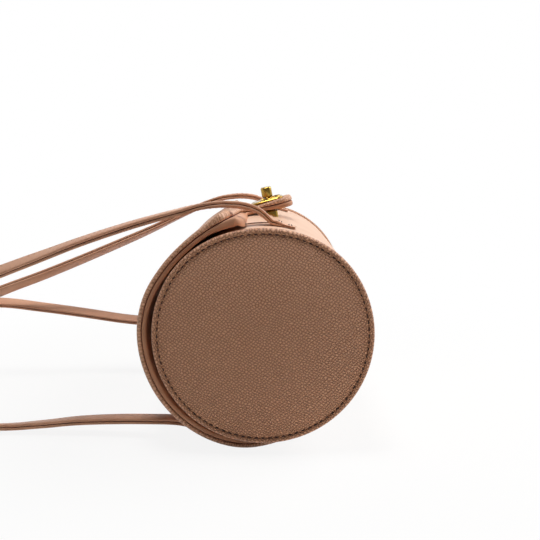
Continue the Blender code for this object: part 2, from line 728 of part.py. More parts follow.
def ply_outline(name, side):
    """Cross section of one ply of a strap, with its outer corners eased. Side 1 is the outer ply."""
    half = STRAP_WIDTH / 2
    inside = side * STRAP_GROOVE / 2
    outside = side * STRAP_THICKNESS / 2
    eased = outside - side * STRAP_EDGE
    points = [(-half, inside), (0.0, inside), (half, inside), (half, eased), (half - STRAP_EDGE, outside),
              (STRAP_EDGE - half, outside), (-half, eased)][::-side]
    curve = bpy.data.curves.new(name, "CURVE")
    curve.dimensions = "2D"
    spline = curve.splines.new("POLY")
    spline.points.add(len(points) - 1)
    for point, (across, up) in zip(spline.points, points):
        point.co = (across, up, 0.0, 1.0)
    spline.use_cyclic_u = True
    obj = bpy.data.objects.new(name, curve)
    obj.hide_render = True
    obj.display_type = "WIRE"
    CUTTERS.objects.link(obj)
    return obj


def strap_ply(name, route, outline, material, carrier):
    curve = bpy.data.curves.new(name, "CURVE")
    curve.dimensions = "3D"
    curve.twist_mode = "Z_UP"
    curve.bevel_mode = "OBJECT"
    curve.bevel_object = outline
    curve.use_fill_caps = True
    spline = curve.splines.new("POLY")
    spline.points.add(len(route) - 1)
    for point, (x, y, z, lean) in zip(spline.points, route):
        point.co = (x, y, z, 1.0)
        point.tilt = math.radians(lean)
    obj = bpy.data.objects.new(name, curve)
    bpy.context.scene.collection.objects.link(obj)
    return finish(obj, material, carrier)


def leg_route(shares, y):
    """A front leg's route, laid out round the barrel."""
    made = []
    for way, lift, lean in shares:
        degrees = FRONT_SEWN_DEG + (FRONT_LEG_END_DEG - FRONT_SEWN_DEG) * way
        place = on_barrel(BARREL_RADIUS + GAP + STRAP_THICKNESS / 2 + FLAP_STANDOFF * lift, degrees, y)
        made.append((*place, lean))
    return made


def run_route(shares, start, bight, side):
    """A free run's route from its start to the bight, on the side of the bag that `side` gives."""
    made = []
    for way, span, bow, lean in shares:
        place = start.lerp(bight, way)
        made.append((place.x, side * STRAP_HALF_SPAN * span, place.z + BARREL_RADIUS * bow, lean))
    return made


def leaned(route, sign):
    return [(x, y, z, sign * lean) for x, y, z, lean in route]


def shortened(route, gap):
    """The route with its first point moved along by a gap."""
    first, second = Vector(route[0][:3]), Vector(route[1][:3])
    moved = first + (second - first).normalized() * gap
    return [(*moved, route[0][3])] + list(route[1:])


def loop_route(near, far, sign, gap):
    """One route from the near leg's start, round the bight, to the far leg's start."""
    near = shortened(smooth_route(near, STATIONS_PER_SPAN), gap)
    far = shortened(smooth_route(far, STATIONS_PER_SPAN), gap)
    return leaned(near + far[-2::-1], sign)


def sewn_end(name, start_deg, direction, inner_radius, y):
    """A strap's sewn end, which lies on the barrel or on the flap."""
    turn = direction * arc_degrees(SEWN_LENGTH, inner_radius)
    low, high = sorted((start_deg, start_deg + turn))
    patch = barrel_patch(name, inner_radius, STRAP_THICKNESS, low, high, STRAP_WIDTH / 2, middle=y, rows=6)
    return finish(shade(patch), SMOOTH_LEATHER)


def build_straps():
    front_bight = Vector((-FRONT_REACH, 0.0, -FRONT_BIGHT_DROP))
    front_arch = loop_route(
        run_route(FRONT_NEAR_RUN_SHARES, NEAR_LEG_END, front_bight, -1),
        run_route(FRONT_FAR_RUN_SHARES, FAR_LEG_END, front_bight, 1), 1, GAP,
    )
    back_bight = Vector((-BACK_REACH, 0.0, -BACK_BIGHT_DROP))
    back_starts = [
        BACK_HANDLE.location + STRAP_THICKNESS * Vector((across, 0.0, up))
        for across, up in (BACK_NEAR_START_SHARES, BACK_FAR_START_SHARES)
    ]
    back_arch = loop_route(
        run_route(BACK_NEAR_RUN_SHARES, back_starts[0], back_bight, -1),
        run_route(BACK_FAR_RUN_SHARES, back_starts[1], back_bight, 1), -1, STRAP_HINGE_GAP,
    )
    for label, side in (("outer", 1), ("inner", -1)):
        outline = ply_outline(f"strap_outline_{label}", side)
        for end, route, sign in (("near", NEAR_LEG, 1), ("far", FAR_LEG, -1)):
            points = leaned(shortened(smooth_route(route, STATIONS_PER_SPAN), STRAP_HINGE_GAP), sign)
            strap_ply(f"front_handle_{end}_leg_{label}", points, outline, SMOOTH_LEATHER, FRONT_LEGS)
        strap_ply(f"front_handle_arch_{label}", front_arch, outline, SMOOTH_LEATHER, FRONT_ARCH)
        outline = ply_outline(f"back_strap_outline_{label}", -side)
        strap_ply(f"back_handle_{label}", back_arch, outline, SMOOTH_LEATHER, BACK_HANDLE)
    front = BARREL_RADIUS + GAP
    back = flap_outer_radius(BACK_SEWN_DEG, 0.0) + 2 * GAP
    for end, y in (("near", -STRAP_HALF_SPAN), ("far", STRAP_HALF_SPAN)):
        sewn_end(f"front_handle_{end}_sewn_end", FRONT_SEWN_DEG, -1, front, y)
        sewn_end(f"back_handle_{end}_sewn_end", BACK_SEWN_DEG, 1, back, y)


# Carriers of the moving pieces, on their joints

LOWEST_RADIUS = max(
    -on_barrel(flap_outer_radius(degrees, 0.0), degrees, 0.0).z for degrees in range(FLAP_FOLD_DEG, FLAP_ROOT_DEG)
)
BARREL_HEIGHT = LOWEST_RADIUS - REST_CUT
LOCK_FRAME = Matrix.Translation((LOCK_X, 0.0, LOCK_SEAT)) @ LOCK_TILT
FOOT_FRAME = Matrix.Rotation(math.atan2(LOCK_X, LOCK_SEAT), 4, "Y")
BARREL_AXIS = new_empty("barrel_axis", (REST_SHIFT, 0.0, BARREL_HEIGHT))
FLAP_FOLD = new_empty(
    "flap_fold_axis", on_barrel(flap_outer_radius(FLAP_FOLD_DEG, 0.0) + GAP, FLAP_FOLD_DEG, 0.0), BARREL_AXIS,
)
KNOB_TURN = new_empty("knob_axis", LOCK_FRAME.to_translation(), BARREL_AXIS)
FRONT_LEGS = new_empty(
    "front_handle_axis", on_barrel(BARREL_RADIUS + STRAP_THICKNESS + 2 * GAP, FRONT_SEWN_DEG, 0.0), BARREL_AXIS,
)
NEAR_LEG = leg_route(FRONT_NEAR_LEG_SHARES, -STRAP_HALF_SPAN)
FAR_LEG = leg_route(FRONT_FAR_LEG_SHARES, STRAP_HALF_SPAN)
NEAR_LEG_END = Vector(NEAR_LEG[-1][:3])
FAR_LEG_END = Vector(FAR_LEG[-1][:3])
FRONT_ARCH = new_empty(
    "front_arch_axis", (NEAR_LEG_END + FAR_LEG_END) / 2 + Vector((0.0, 0.0, STRAP_THICKNESS / 2)), BARREL_AXIS,
)
BACK_HANDLE = new_empty(
    "back_handle_axis",
    on_barrel(flap_outer_radius(BACK_SEWN_DEG, 0.0) + STRAP_THICKNESS + 2 * GAP, BACK_SEWN_DEG, 0.0), BARREL_AXIS,
)
SLOT_HOLE = slot_cutter("slot_cutter", 0.0, -TAB_THICKNESS, TAB_THICKNESS + EYELET_THICKNESS + CUT_OVERRUN)
TAB_HOLE = slot_cutter("tab_hole_cutter", TAB_HOLE_MARGIN, -TAB_THICKNESS, TAB_THICKNESS + GAP / 2)

build_barrel()
build_end("near", -1)
build_end("far", 1)
build_inside()
build_flap()
build_tab()
build_eyelet()
build_lock()
build_knob()
build_straps()
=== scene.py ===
# %% [markdown]
# # A barrel shaped leather handbag, lying on its back
#
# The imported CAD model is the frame: it fixes every size, place and joint. This script dresses it in leather,
# thread, cloth and gold plated metal. Each piece is first described as it is on the real bag, then made.

# %% Load the frame
import math
import random
import bmesh
import bpy
from mathutils import Matrix, Vector


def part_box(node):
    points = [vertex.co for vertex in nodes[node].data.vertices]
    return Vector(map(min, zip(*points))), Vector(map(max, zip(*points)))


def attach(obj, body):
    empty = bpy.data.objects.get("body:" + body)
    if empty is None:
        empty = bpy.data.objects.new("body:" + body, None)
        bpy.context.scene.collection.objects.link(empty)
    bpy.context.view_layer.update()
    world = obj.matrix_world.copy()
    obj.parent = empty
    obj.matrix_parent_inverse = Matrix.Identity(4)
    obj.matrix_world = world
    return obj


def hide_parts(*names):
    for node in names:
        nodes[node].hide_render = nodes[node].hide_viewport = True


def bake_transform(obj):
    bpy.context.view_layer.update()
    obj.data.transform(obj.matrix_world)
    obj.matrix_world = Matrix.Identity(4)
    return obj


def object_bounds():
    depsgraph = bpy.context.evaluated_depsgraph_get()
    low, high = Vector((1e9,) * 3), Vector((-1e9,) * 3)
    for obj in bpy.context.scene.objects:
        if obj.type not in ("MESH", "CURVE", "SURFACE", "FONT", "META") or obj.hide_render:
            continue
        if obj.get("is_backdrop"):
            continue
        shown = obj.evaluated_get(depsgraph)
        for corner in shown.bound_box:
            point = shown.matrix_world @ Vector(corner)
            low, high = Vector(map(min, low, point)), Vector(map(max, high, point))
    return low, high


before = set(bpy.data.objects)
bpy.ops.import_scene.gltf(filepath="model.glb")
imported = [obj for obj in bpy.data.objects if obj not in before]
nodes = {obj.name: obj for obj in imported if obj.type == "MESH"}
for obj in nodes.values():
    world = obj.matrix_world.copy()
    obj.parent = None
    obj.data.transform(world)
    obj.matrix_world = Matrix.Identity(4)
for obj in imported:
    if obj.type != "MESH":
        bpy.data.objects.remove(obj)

MM = 0.001
cad_box = [list(corner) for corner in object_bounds()]


def in_mm(values):
    return [round(value / MM, 1) for value in values]


print("CAD box in mm:", *map(in_mm, cad_box))

# %% [markdown]
# The barrel is the bag's body: everything is sewn to it or wraps round it. Its wrap is a full circle, so the
# middle of its box is the barrel's axis, and places are easiest to give as a radius, an angle and a distance
# along that axis. Zero degrees points to +X and 90 degrees straight up.

# %% The barrel's axis and its polar places
ENDS = (("near", -1), ("far", 1))
wrap_low, wrap_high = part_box("body_wrap")
AXIS_X = (wrap_low.x + wrap_high.x) / 2
AXIS_Z = (wrap_low.z + wrap_high.z) / 2
BARREL_RADIUS = (wrap_high.z - wrap_low.z) / 2
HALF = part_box("far_end_rim")[1].y


def on_barrel(radius, degrees, y):
    angle = math.radians(degrees)
    return Vector((AXIS_X + radius * math.cos(angle), y, AXIS_Z + radius * math.sin(angle)))


def degrees_of(place):
    return math.degrees(math.atan2(place.z - AXIS_Z, place.x - AXIS_X))


def away_from_axis(place):
    return Vector((place.x - AXIS_X, 0.0, place.z - AXIS_Z))


print("axis x and z, radius and half length in mm:", in_mm((AXIS_X, AXIS_Z, BARREL_RADIUS, HALF)))

# %% [markdown]
# A leather bag keeps its shape by its boards, but the end of a soft barrel still settles a little at the top,
# where nothing holds it up from inside. The photograph shows the near end about 2 mm lower there than a true
# circle. One function lowers a point by that much at the near end, and by nothing from the barrel's middle,
# where the lock sits, to its far end.

# %% How far the near end settles
SETTLE = 2.0 * MM
SETTLE_HALF_DEG = 60


def settled(place):
    """The place, lowered as the top of the barrel's near end is."""
    off_top = min(abs(degrees_of(place) - 90) / SETTLE_HALF_DEG, 1.0)
    along = min(max(-place.y / HALF, 0.0), 1.0)
    return Vector((place.x, place.y, place.z - SETTLE * along ** 2 * math.cos(off_top * math.pi / 2) ** 2))


near_top = on_barrel(BARREL_RADIUS, 90, -HALF)
print("the near end's top settles, in mm, by", in_mm([near_top.z - settled(near_top).z]))

# %% [markdown]
# ## Finishes
#
# Colours are written as the hex values that a paint program shows, and one function turns them to the linear
# values that Blender's shader expects. A second small function adds a node with its settings and its links,
# and a third joins a finish's colour and its relief to the shader.

# %% Colour and node helpers


def colour(text):
    """An sRGB hex colour as linear red, green, blue and alpha."""
    channels = [int(text[i:i + 2], 16) / 255 for i in (1, 3, 5)]
    return (*[c / 12.92 if c <= 0.04045 else ((c + 0.055) / 1.055) ** 2.4 for c in channels], 1.0)


def add_node(tree, kind, inputs=None, **settings):
    """Adds a shader node. An input is a value, or the output socket of another node."""
    node = tree.nodes.new("ShaderNode" + kind)
    for key, value in settings.items():
        setattr(node, key, value)
    for key, value in (inputs or {}).items():
        if isinstance(value, bpy.types.NodeSocket):
            tree.links.new(value, node.inputs[key])
        else:
            node.inputs[key].default_value = value
    return node


def new_finish(name, roughness, metallic=0.0):
    """A material with its own shader, and the object's coordinates to lay patterns on."""
    material = bpy.data.materials.new(name)
    material.use_nodes = True
    shader = material.node_tree.nodes["Principled BSDF"]
    shader.inputs["Roughness"].default_value = roughness
    shader.inputs["Metallic"].default_value = metallic
    place = add_node(material.node_tree, "TexCoord").outputs["Object"]
    return material, material.node_tree, shader, place


def finish_with(tree, shader, tone, height, strength, depth):
    """Joins a mixed colour to a shader, and a relief that is `depth` high where `height` is 1."""
    bump = add_node(tree, "Bump", {"Height": height, "Strength": strength, "Distance": depth})
    tree.links.new(tone.outputs[2], shader.inputs["Base Color"])
    tree.links.new(bump.outputs[0], shader.inputs["Normal"])


print("white is", colour("#FFFFFF")[:3])

# %% [markdown]
# Pebbled leather is calfskin pressed with a plate of small rounded grains. The grains on this bag lie in
# slanting rows a little over a millimetre apart. Their colour holds painted shade, darker in the creases round
# the grains, and a painted highlight, lighter on their tops. A Voronoi pattern gives exactly that: its
# distance to the cell's edge is zero in the creases and highest on top of the grain. Half randomness keeps
# something of the pressing plate's rows, and a slight warp keeps them from looking machine drawn. The pattern
# is laid on a flat map of the leather, kept with the mesh, so that it follows the bend of the flap.

# %% Pebbled leather
GRAIN_PITCH, WARP_PITCH, CLOUD_PITCH = 1.6 * MM, 6 * MM, 26 * MM
GRAIN_ROW_DEG = 38
LAID = "laid"


def pebbled_leather(name, grain, crease_shade, worn, top, relief):
    """Grains of two cloudy tones, with painted shade in the creases round them and a painted highlight on
    their tops.
    """
    material, tree, shader, place = new_finish(name, 0.46)
    flat = add_node(tree, "UVMap", uv_map=LAID).outputs["UV"]
    warp = add_node(tree, "TexNoise", {"Vector": flat, "Scale": 1 / WARP_PITCH, "Detail": 2.0})
    shift = add_node(tree, "VectorMath", {0: warp.outputs["Color"], 1: (0.5, 0.5, 0.5)}, operation="SUBTRACT")
    reach = add_node(tree, "VectorMath", {0: shift.outputs[0], "Scale": 1.3 * GRAIN_PITCH}, operation="SCALE")
    bent = add_node(tree, "VectorMath", {0: flat, 1: reach.outputs[0]}, operation="ADD")
    turned = add_node(tree, "Mapping", {
        "Vector": bent.outputs[0], "Scale": (0.92, 1.18, 1.0),
        "Rotation": (0.0, 0.0, math.radians(GRAIN_ROW_DEG)),
    })
    cells = add_node(
        tree, "TexVoronoi", {"Vector": turned.outputs[0], "Scale": 1 / GRAIN_PITCH, "Randomness": 0.5},
        feature="DISTANCE_TO_EDGE", voronoi_dimensions="2D",
    ).outputs["Distance"]
    # Three ranges: painted shade in the creases round the grains, the grains' relief, and a painted highlight
    # on their tops.
    leather, dome, top_highlight = (
        add_node(
            tree, "MapRange", {"Value": cells, "From Min": low, "From Max": high}, interpolation_type=kind,
        ).outputs["Result"]
        for low, high, kind in ((0.0, 0.15, "SMOOTHSTEP"), (0.0, 0.42, "SMOOTHSTEP"), (0.16, 0.46, "LINEAR"))
    )
    cloud = add_node(tree, "TexNoise", {"Vector": place, "Scale": 1 / CLOUD_PITCH, "Detail": 3.0})
    patchy = add_node(
        tree, "Mix", {"Factor": cloud.outputs["Fac"], 6: colour(grain), 7: colour(worn)}, data_type="RGBA",
    )
    # Painted shade: the crease colour darkens the creases round the grains.
    crease_shaded = add_node(
        tree, "Mix", {"Factor": leather, 6: colour(crease_shade), 7: patchy.outputs[2]}, data_type="RGBA",
    )
    # Painted highlight: the top colour lightens each grain's top.
    tone = add_node(tree, "Mix", {"Factor": top_highlight, 6: crease_shaded.outputs[2], 7: colour(top)}, data_type="RGBA")
    finish_with(tree, shader, tone, dome, 1.0, relief)
    return material


# Colours: grain, painted shade in the creases, a second grain tone, painted highlight on the grains' tops.
# The end's colours are darker and warmer than the flap's: painted shade, as the ends face away from the light.
SHADED_END_LEATHER = pebbled_leather("pebbled_calfskin_end_painted_shade", "#CF9570", "#8B5A42", "#C68B67", "#E4B08A", 0.34 * MM)
FLAP_LEATHER = pebbled_leather("pebbled_calfskin_flap", "#DBA785", "#AE7C5F", "#D29E7C", "#E8B796", 0.20 * MM)
print("grains per 10 mm:", round(10 * MM / GRAIN_PITCH, 1))

# %% [markdown]
# The body and the straps are smooth leather of the same dye: a very fine natural pore, a soft satin light
# and colour that drifts a little from place to place. Two noises are enough, a broad one for the dye and one
# of about half a millimetre for the pores, drawn a little coarser than life so that it shows at all.

# %% Smooth leather
DYE_PITCH, PORE_PITCH, PORE_DEPTH = 30 * MM, 0.6 * MM, 0.10 * MM


def smooth_leather(name, light, deep, roughness):
    material, tree, shader, place = new_finish(name, roughness)
    shader.inputs["Specular IOR Level"].default_value = 0.25
    drift = add_node(tree, "TexNoise", {"Vector": place, "Scale": 1 / DYE_PITCH, "Detail": 4.0})
    spread = add_node(tree, "MapRange", {"Value": drift.outputs["Fac"], "From Min": 0.35, "From Max": 0.65})
    drifted = spread.outputs["Result"]
    dye = add_node(tree, "Mix", {"Factor": drifted, 6: colour(deep), 7: colour(light)}, data_type="RGBA")
    pores = add_node(tree, "TexNoise", {"Vector": place, "Scale": 1 / PORE_PITCH, "Detail": 3.0})
    finish_with(tree, shader, dye, pores.outputs["Fac"], 0.25, PORE_DEPTH)
    return material


BODY_LEATHER = smooth_leather("smooth_calfskin_body", "#E2BCA2", "#DBB296", 0.44)
STRAP_LEATHER = smooth_leather("smooth_calfskin_strap", "#DCAA8B", "#D29C7E", 0.42)
INNER_LEATHER = smooth_leather("smooth_calfskin_flap_lining", "#D09B7B", "#C58E6D", 0.48)
# Dark brown edge paint, also used as painted shade in the straps' grooves and along the mouth panel's edge.
EDGE_PAINT_AND_SHADE = smooth_leather("dark_edge_paint_and_painted_shade", "#5A3324", "#47261A", 0.50)
print("pore pitch in mm:", in_mm([PORE_PITCH]))

# %% [markdown]
# Sewing thread is waxed polyester, twisted, so it shows fine slanted bands of two tones. The seam round each
# end is drawn in dark brown, sunk into the leather, and the seams on the body and straps in a thread of the
# leather's own colour. The same dark brown draws the needle holes of the front strap's box stitches, as
# painted shade in the holes. The lining and the boards are woven or pressed in two crossed rows, drawn coarser
# than
# life. The lock is plated: nearly a mirror, with the faint smears in its roughness that handling leaves.

# %% Threads, cloth, board and metals
TWIST_PITCH, SMEAR_PITCH, WEAVE_DEPTH = 3 * MM, 4 * MM, 0.15 * MM


def thread(name, light, dark):
    material, tree, shader, place = new_finish(name, 0.6)
    wave = {"Vector": place, "Scale": 1 / TWIST_PITCH, "Distortion": 1.0}
    twist = add_node(tree, "TexWave", wave, bands_direction="DIAGONAL").outputs["Fac"]
    tone = add_node(tree, "Mix", {"Factor": twist, 6: colour(dark), 7: colour(light)}, data_type="RGBA")
    tree.links.new(tone.outputs[2], shader.inputs["Base Color"])
    return material


def woven_cloth(name, warp, weft, pitch):
    """Two crossed waves. A wave texture runs 20 times its scale."""
    material, tree, shader, place = new_finish(name, 0.85)
    wave = {"Vector": place, "Scale": 1 / pitch / 20}
    rows, columns = (add_node(tree, "TexWave", wave, bands_direction=way).outputs["Fac"] for way in "YZ")
    weave = add_node(tree, "Math", {0: rows, 1: columns}, operation="MULTIPLY").outputs[0]
    tone = add_node(tree, "Mix", {"Factor": weave, 6: colour(warp), 7: colour(weft)}, data_type="RGBA")
    finish_with(tree, shader, tone, weave, 0.4, WEAVE_DEPTH)
    return material


def plated_metal(name, base, roughness, smear):
    material, tree, shader, place = new_finish(name, roughness, metallic=1.0)
    shader.inputs["Base Color"].default_value = colour(base)
    smears = add_node(tree, "TexNoise", {"Vector": place, "Scale": 1 / SMEAR_PITCH, "Detail": 5.0})
    spread = add_node(tree, "MapRange", {
        "Value": smears.outputs["Fac"], "To Min": roughness, "To Max": roughness + smear,
    })
    tree.links.new(spread.outputs["Result"], shader.inputs["Roughness"])
    return material


# Dark brown: the end seams, and painted shade in the needle holes of the box stitches.
DARK_THREAD_AND_HOLE_SHADE = thread("waxed_polyester_dark_and_painted_hole_shade", "#4A2E22", "#2A1710")
PALE_THREAD = thread("waxed_polyester_pink", "#DDB199", "#C4957C")
LINING = woven_cloth("cotton_twill_lining", "#B39A86", "#C9B29D", 0.5 * MM)
# The gold is darker than bright plating: partly painted dark reflection, for the dark room that the lock
# mirrors.
GOLD = plated_metal("gold_plating_painted_dark_reflection", "#AE8C42", 0.13, 0.12)
STEEL = plated_metal("nickel_plated_steel", "#B9B6B0", 0.28, 0.15)
BOARD = woven_cloth("pressed_fibre_board", "#8F8778", "#9C9484", 0.8 * MM)
# The flap's board is dark maroon: painted shade, so that the groove between the flap's plies shows dark.
FLAP_BOARD_GROOVE_SHADE = woven_cloth("fibre_board_painted_groove_shade", "#4A1F1C", "#5A2A24", 0.8 * MM)
print("finishes made:", len(bpy.data.materials))

# %% [markdown]
# ## Tools for the pieces
#
# A new piece is shaped in a bmesh and becomes one object at the origin; most pieces are then tied to a body of
# the frame. A leather sheet is laid where its inner face goes and thickened outward, and its edges are
# rounded.

# %% Making a piece
MERGE, ON_PLANE = 0.002 * MM, 0.001 * MM


def shade(mesh, degrees):
    """Smooth shading, but for the edges where faces meet at more than an angle."""
    mesh.shade_smooth()
    mesh.set_sharp_from_angle(angle=math.radians(degrees))


def new_piece(name, bm, finish, slot, smooth=35):
    """An object from a bmesh, shaded smooth up to an angle."""
    mesh = bpy.data.meshes.new(name)
    bm.to_mesh(mesh)
    bm.free()
    piece = bpy.data.objects.new(name, mesh)
    bpy.context.scene.collection.objects.link(piece)
    mesh.materials.append(finish)
    shade(mesh, smooth)
    return piece


def lay_pattern(bm, flat):
    """Keeps a flat map of the leather with the mesh: `flat` gives it for a point and its face's middle."""
    layer = bm.loops.layers.uv.new(LAID)
    for face in bm.faces:
        middle = face.calc_center_median()
        for loop in face.loops:
            loop[layer].uv = flat(loop.vert.co, middle)


def apply_modifiers(piece):
    graph = bpy.context.evaluated_depsgraph_get()
    mesh = bpy.data.meshes.new_from_object(piece.evaluated_get(graph))
    piece.modifiers.clear()
    piece.data = mesh


def edges_rounded(piece, width, segments, least_deg, smooth):
    """The piece with its modifiers applied and its edges above an angle rounded, then shaded."""
    if width:
        bevel = piece.modifiers.new("rounding", "BEVEL")
        bevel.width, bevel.segments = width, segments
        bevel.limit_method, bevel.angle_limit = "ANGLE", math.radians(least_deg)
    apply_modifiers(piece)
    shade(piece.data, smooth)
    return piece


def thickened(piece, thickness, rounding):
    """A sheet with its thickness outward and its edges rounded."""
    solid = piece.modifiers.new("thickness", "SOLIDIFY")
    solid.thickness, solid.offset = thickness, 1.0
    return edges_rounded(piece, rounding, 3, 50, 40)


def turn_out(bm):
    """Turns a sheet's faces away from the barrel's axis."""
    face = next(iter(bm.faces))
    face.normal_update()
    if face.normal.dot(away_from_axis(face.calc_center_median())) < 0:
        bmesh.ops.reverse_faces(bm, faces=bm.faces)


def cut_rows(bm, across, along):
    """Cuts a mesh by planes at the given places along X and along Y."""
    for places, normal in ((across, Vector((1.0, 0.0, 0.0))), (along, Vector((0.0, 1.0, 0.0)))):
        for place in places:
            bmesh.ops.bisect_plane(
                bm, geom=bm.verts[:] + bm.edges[:] + bm.faces[:], plane_co=normal * place, plane_no=normal,
                dist=ON_PLANE,
            )


def spread_out(first, last, count):
    return [first + (last - first) * i / (count - 1) for i in range(count)]


print("three places spread out:", spread_out(0, 1, 3))

# %% [markdown]
# ## The ends
#
# Each end is a disc of pebbled leather, sewn into a rolled rim of the same leather. Padding crowns the disc
# by about 5 mm, and it dips into the seam; the rim stands a little proud of the body. Both are turned
# shapes, so one profile spun round the barrel's axis makes each. The near and the far end are alike,
# mirrored.

# %% Turned end pieces
SPIN_STEPS = 240
SEAM_RADIUS = 56.9 * MM


def turned_piece(name, profile, side, closed):
    """Spins a profile of (radius, distance out of the end), in mm, round the barrel's axis."""
    bm = bmesh.new()
    verts = [bm.verts.new(on_barrel(radius * MM, 0, side * (HALF + out * MM))) for radius, out in profile]
    edges = [bm.edges.new(pair) for pair in zip(verts, verts[1:])]
    if closed:
        edges.append(bm.edges.new((verts[-1], verts[0])))
    bmesh.ops.spin(
        bm, geom=verts + edges, cent=(AXIS_X, 0.0, AXIS_Z), axis=(0.0, 1.0, 0.0), angle=math.tau,
        steps=SPIN_STEPS, use_merge=True, use_duplicate=False,
    )
    bmesh.ops.remove_doubles(bm, verts=bm.verts, dist=MERGE)
    bmesh.ops.recalc_face_normals(bm, faces=bm.faces)

    def flat(place, middle):
        """The disc's pattern lies straight across it; the rim's runs round it."""
        out = away_from_axis(place)
        if not closed:
            return (out.x, out.z)
        turn = math.atan2(middle.z - AXIS_Z, middle.x - AXIS_X)
        off = math.atan2(out.z, out.x) - turn
        off -= math.tau * round(off / math.tau)
        return ((turn + off) * SEAM_RADIUS, abs(place.y) + out.length)

    lay_pattern(bm, flat)
    for vert in bm.verts:
        vert.co = settled(vert.co)
    return new_piece(name, bm, SHADED_END_LEATHER, "pebbled_leather", smooth=60)


CAP_PROFILE = (
    (0.0, 5.4), (8.0, 5.3), (15.0, 5.05), (22.0, 4.62), (30.0, 3.9), (37.0, 3.08), (42.0, 2.38), (46.0, 1.74),
    (49.0, 1.18), (51.5, 0.68), (53.5, 0.22), (55.0, -0.18), (56.0, -0.48), (56.8, -0.8), (57.4, -1.1),
    (57.4, -2.6), (0.0, -2.6),
)
RIM_PROFILE = (
    (56.9, -2.4), (56.95, -1.1), (57.2, -0.6), (57.6, -0.2), (58.2, 0.0), (58.8, -0.02), (59.35, -0.3),
    (59.75, -0.8), (59.95, -1.5), (59.95, -2.4), (59.75, -3.3), (59.3, -4.0), (58.8, -4.5), (57.6, -4.6),
)
TURNED = (("disc", CAP_PROFILE, False, "cap"), ("roll", RIM_PROFILE, True, "rim"))
for end, side in ENDS:
    for part, profile, closed, node in TURNED:
        piece = turned_piece(f"{end}_end_{part}", profile, side, closed)
        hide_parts(f"{end}_end_{node}")
        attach(piece, "bag")
        print(piece.name, "faces:", len(piece.data.polygons))

# %% [markdown]
# The seam between disc and rim is sewn all round with about 96 stitches, drawn dark brown, which lie sunk in
# the seam as short dashes. A stitch is a small round-ended rod, and here a ball stretched along the seam is
# enough, repeated at the real pitch. All stitches of a seam are one piece.

# %% Rows of stitches
END_STITCHES = 96
SEAM_SUNK = 0.62 * MM


def stitch_row(name, frames, length, thick, finish, slot="smooth_leather"):
    """One piece with a stitch at each frame, lying along the frame's X axis."""
    bm = bmesh.new()
    for place in frames:
        size = Matrix.Diagonal((length / 2, thick / 2, thick / 2, 1.0))
        bmesh.ops.create_icosphere(bm, subdivisions=1, radius=1.0, matrix=place @ size)
    return new_piece(name, bm, finish, slot, smooth=180)


def facing(place, along, out):
    """A frame at a place, with X along the seam and Z out of the leather."""
    x = along.normalized()
    z = (out - out.dot(x) * x).normalized()
    y = z.cross(x)
    return Matrix.Translation(place) @ Matrix((x, y, z)).transposed().to_4x4()


def seam_round(name, radius, y, count, out, length, thick, finish, slot="smooth_leather"):
    """A row of stitches round the barrel. `out` gives the way out of the leather at a place."""
    frames = []
    for degrees in spread_out(0, 360, count + 1)[:-1]:
        place, after = (settled(on_barrel(radius, turn, y)) for turn in (degrees, degrees + 1))
        frames.append(facing(place, after - place, out(place)))
    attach(stitch_row(name, frames, length, thick, finish, slot), "bag")


for end, side in ENDS:
    seam_round(
        f"{end}_end_seam", SEAM_RADIUS, side * (HALF - SEAM_SUNK), END_STITCHES,
        lambda place: Vector((0.0, side, 0.0)), 2.3 * MM, 0.8 * MM, DARK_THREAD_AND_HOLE_SHADE, "pebbled_leather",
    )
print("stitch pitch in mm:", in_mm([math.tau * SEAM_RADIUS / END_STITCHES]))

# %% [markdown]
# ## The body
#
# The body is one sheet of smooth leather round the barrel, open at the mouth, which the flap hides. A tube
# from a primitive is cut into short rings, so that it can settle at its near end, and its faces over the
# mouth are left out.

# %% Body wrap
BODY_SEGMENTS, BODY_RINGS = 180, 44
BODY_HALF = HALF - 4.4 * MM
WRAP_THICKNESS = 2.0 * MM
MOUTH_DEG = (108, 152)
MOUTH_HALF = 51 * MM


def cut_mouth(bm):
    """Leaves out the faces over the mouth."""
    over = []
    for face in bm.faces:
        middle = face.calc_center_median()
        if MOUTH_DEG[0] < degrees_of(middle) < MOUTH_DEG[1] and abs(middle.y) < MOUTH_HALF:
            over.append(face)
    bmesh.ops.delete(bm, geom=over, context="FACES")


bm = bmesh.new()
inside = BARREL_RADIUS - WRAP_THICKNESS
bmesh.ops.create_cone(
    bm, cap_ends=False, segments=BODY_SEGMENTS, radius1=inside, radius2=inside, depth=2 * BODY_HALF,
    matrix=Matrix.Translation((AXIS_X, 0.0, AXIS_Z)) @ Matrix.Rotation(math.radians(90), 4, "X"),
)
along = [edge for edge in bm.edges if abs(edge.verts[0].co.y - edge.verts[1].co.y) > BODY_HALF]
bmesh.ops.subdivide_edges(bm, edges=along, cuts=BODY_RINGS, use_grid_fill=True)
cut_rows(bm, [], [-MOUTH_HALF, MOUTH_HALF])
cut_mouth(bm)
bmesh.ops.recalc_face_normals(bm, faces=bm.faces)
turn_out(bm)
for vert in bm.verts:
    vert.co = settled(vert.co)
body = thickened(new_piece("body_leather", bm, BODY_LEATHER, "smooth_leather"), WRAP_THICKNESS, 0.4 * MM)
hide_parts("body_wrap")
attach(body, "bag")
print("body faces:", len(body.data.polygons))

# %% [markdown]
# A thin panel frames the mouth. It is skived to well under a millimetre, and its cut edge is dark, partly edge
# paint and partly painted shade, which shows as a fine line beside the strap. It is a grid with the mouth left
# out, laid on the body and thickened, and the faces of its edge get the dark colour. A row of fine stitches
# runs round the body next to each rim.

# %% Mouth panel and body seams
PANEL_DEG = (84.5, 158)
PANEL_HALF = 58 * MM
PANEL_THICKNESS, PANEL_CORNER, PANEL_LIFT = 0.6 * MM, 6 * MM, 0.02 * MM
BODY_SEAM_STITCHES = 104
BODY_SEAM_INSET = 8.4 * MM


def spans(*ends_and_counts):
    """Places spread out over neighbouring spans, each given as its first and last place and their count."""
    first = spread_out(*ends_and_counts[0])
    return first + [place for span in ends_and_counts[1:] for place in spread_out(*span)[1:]]


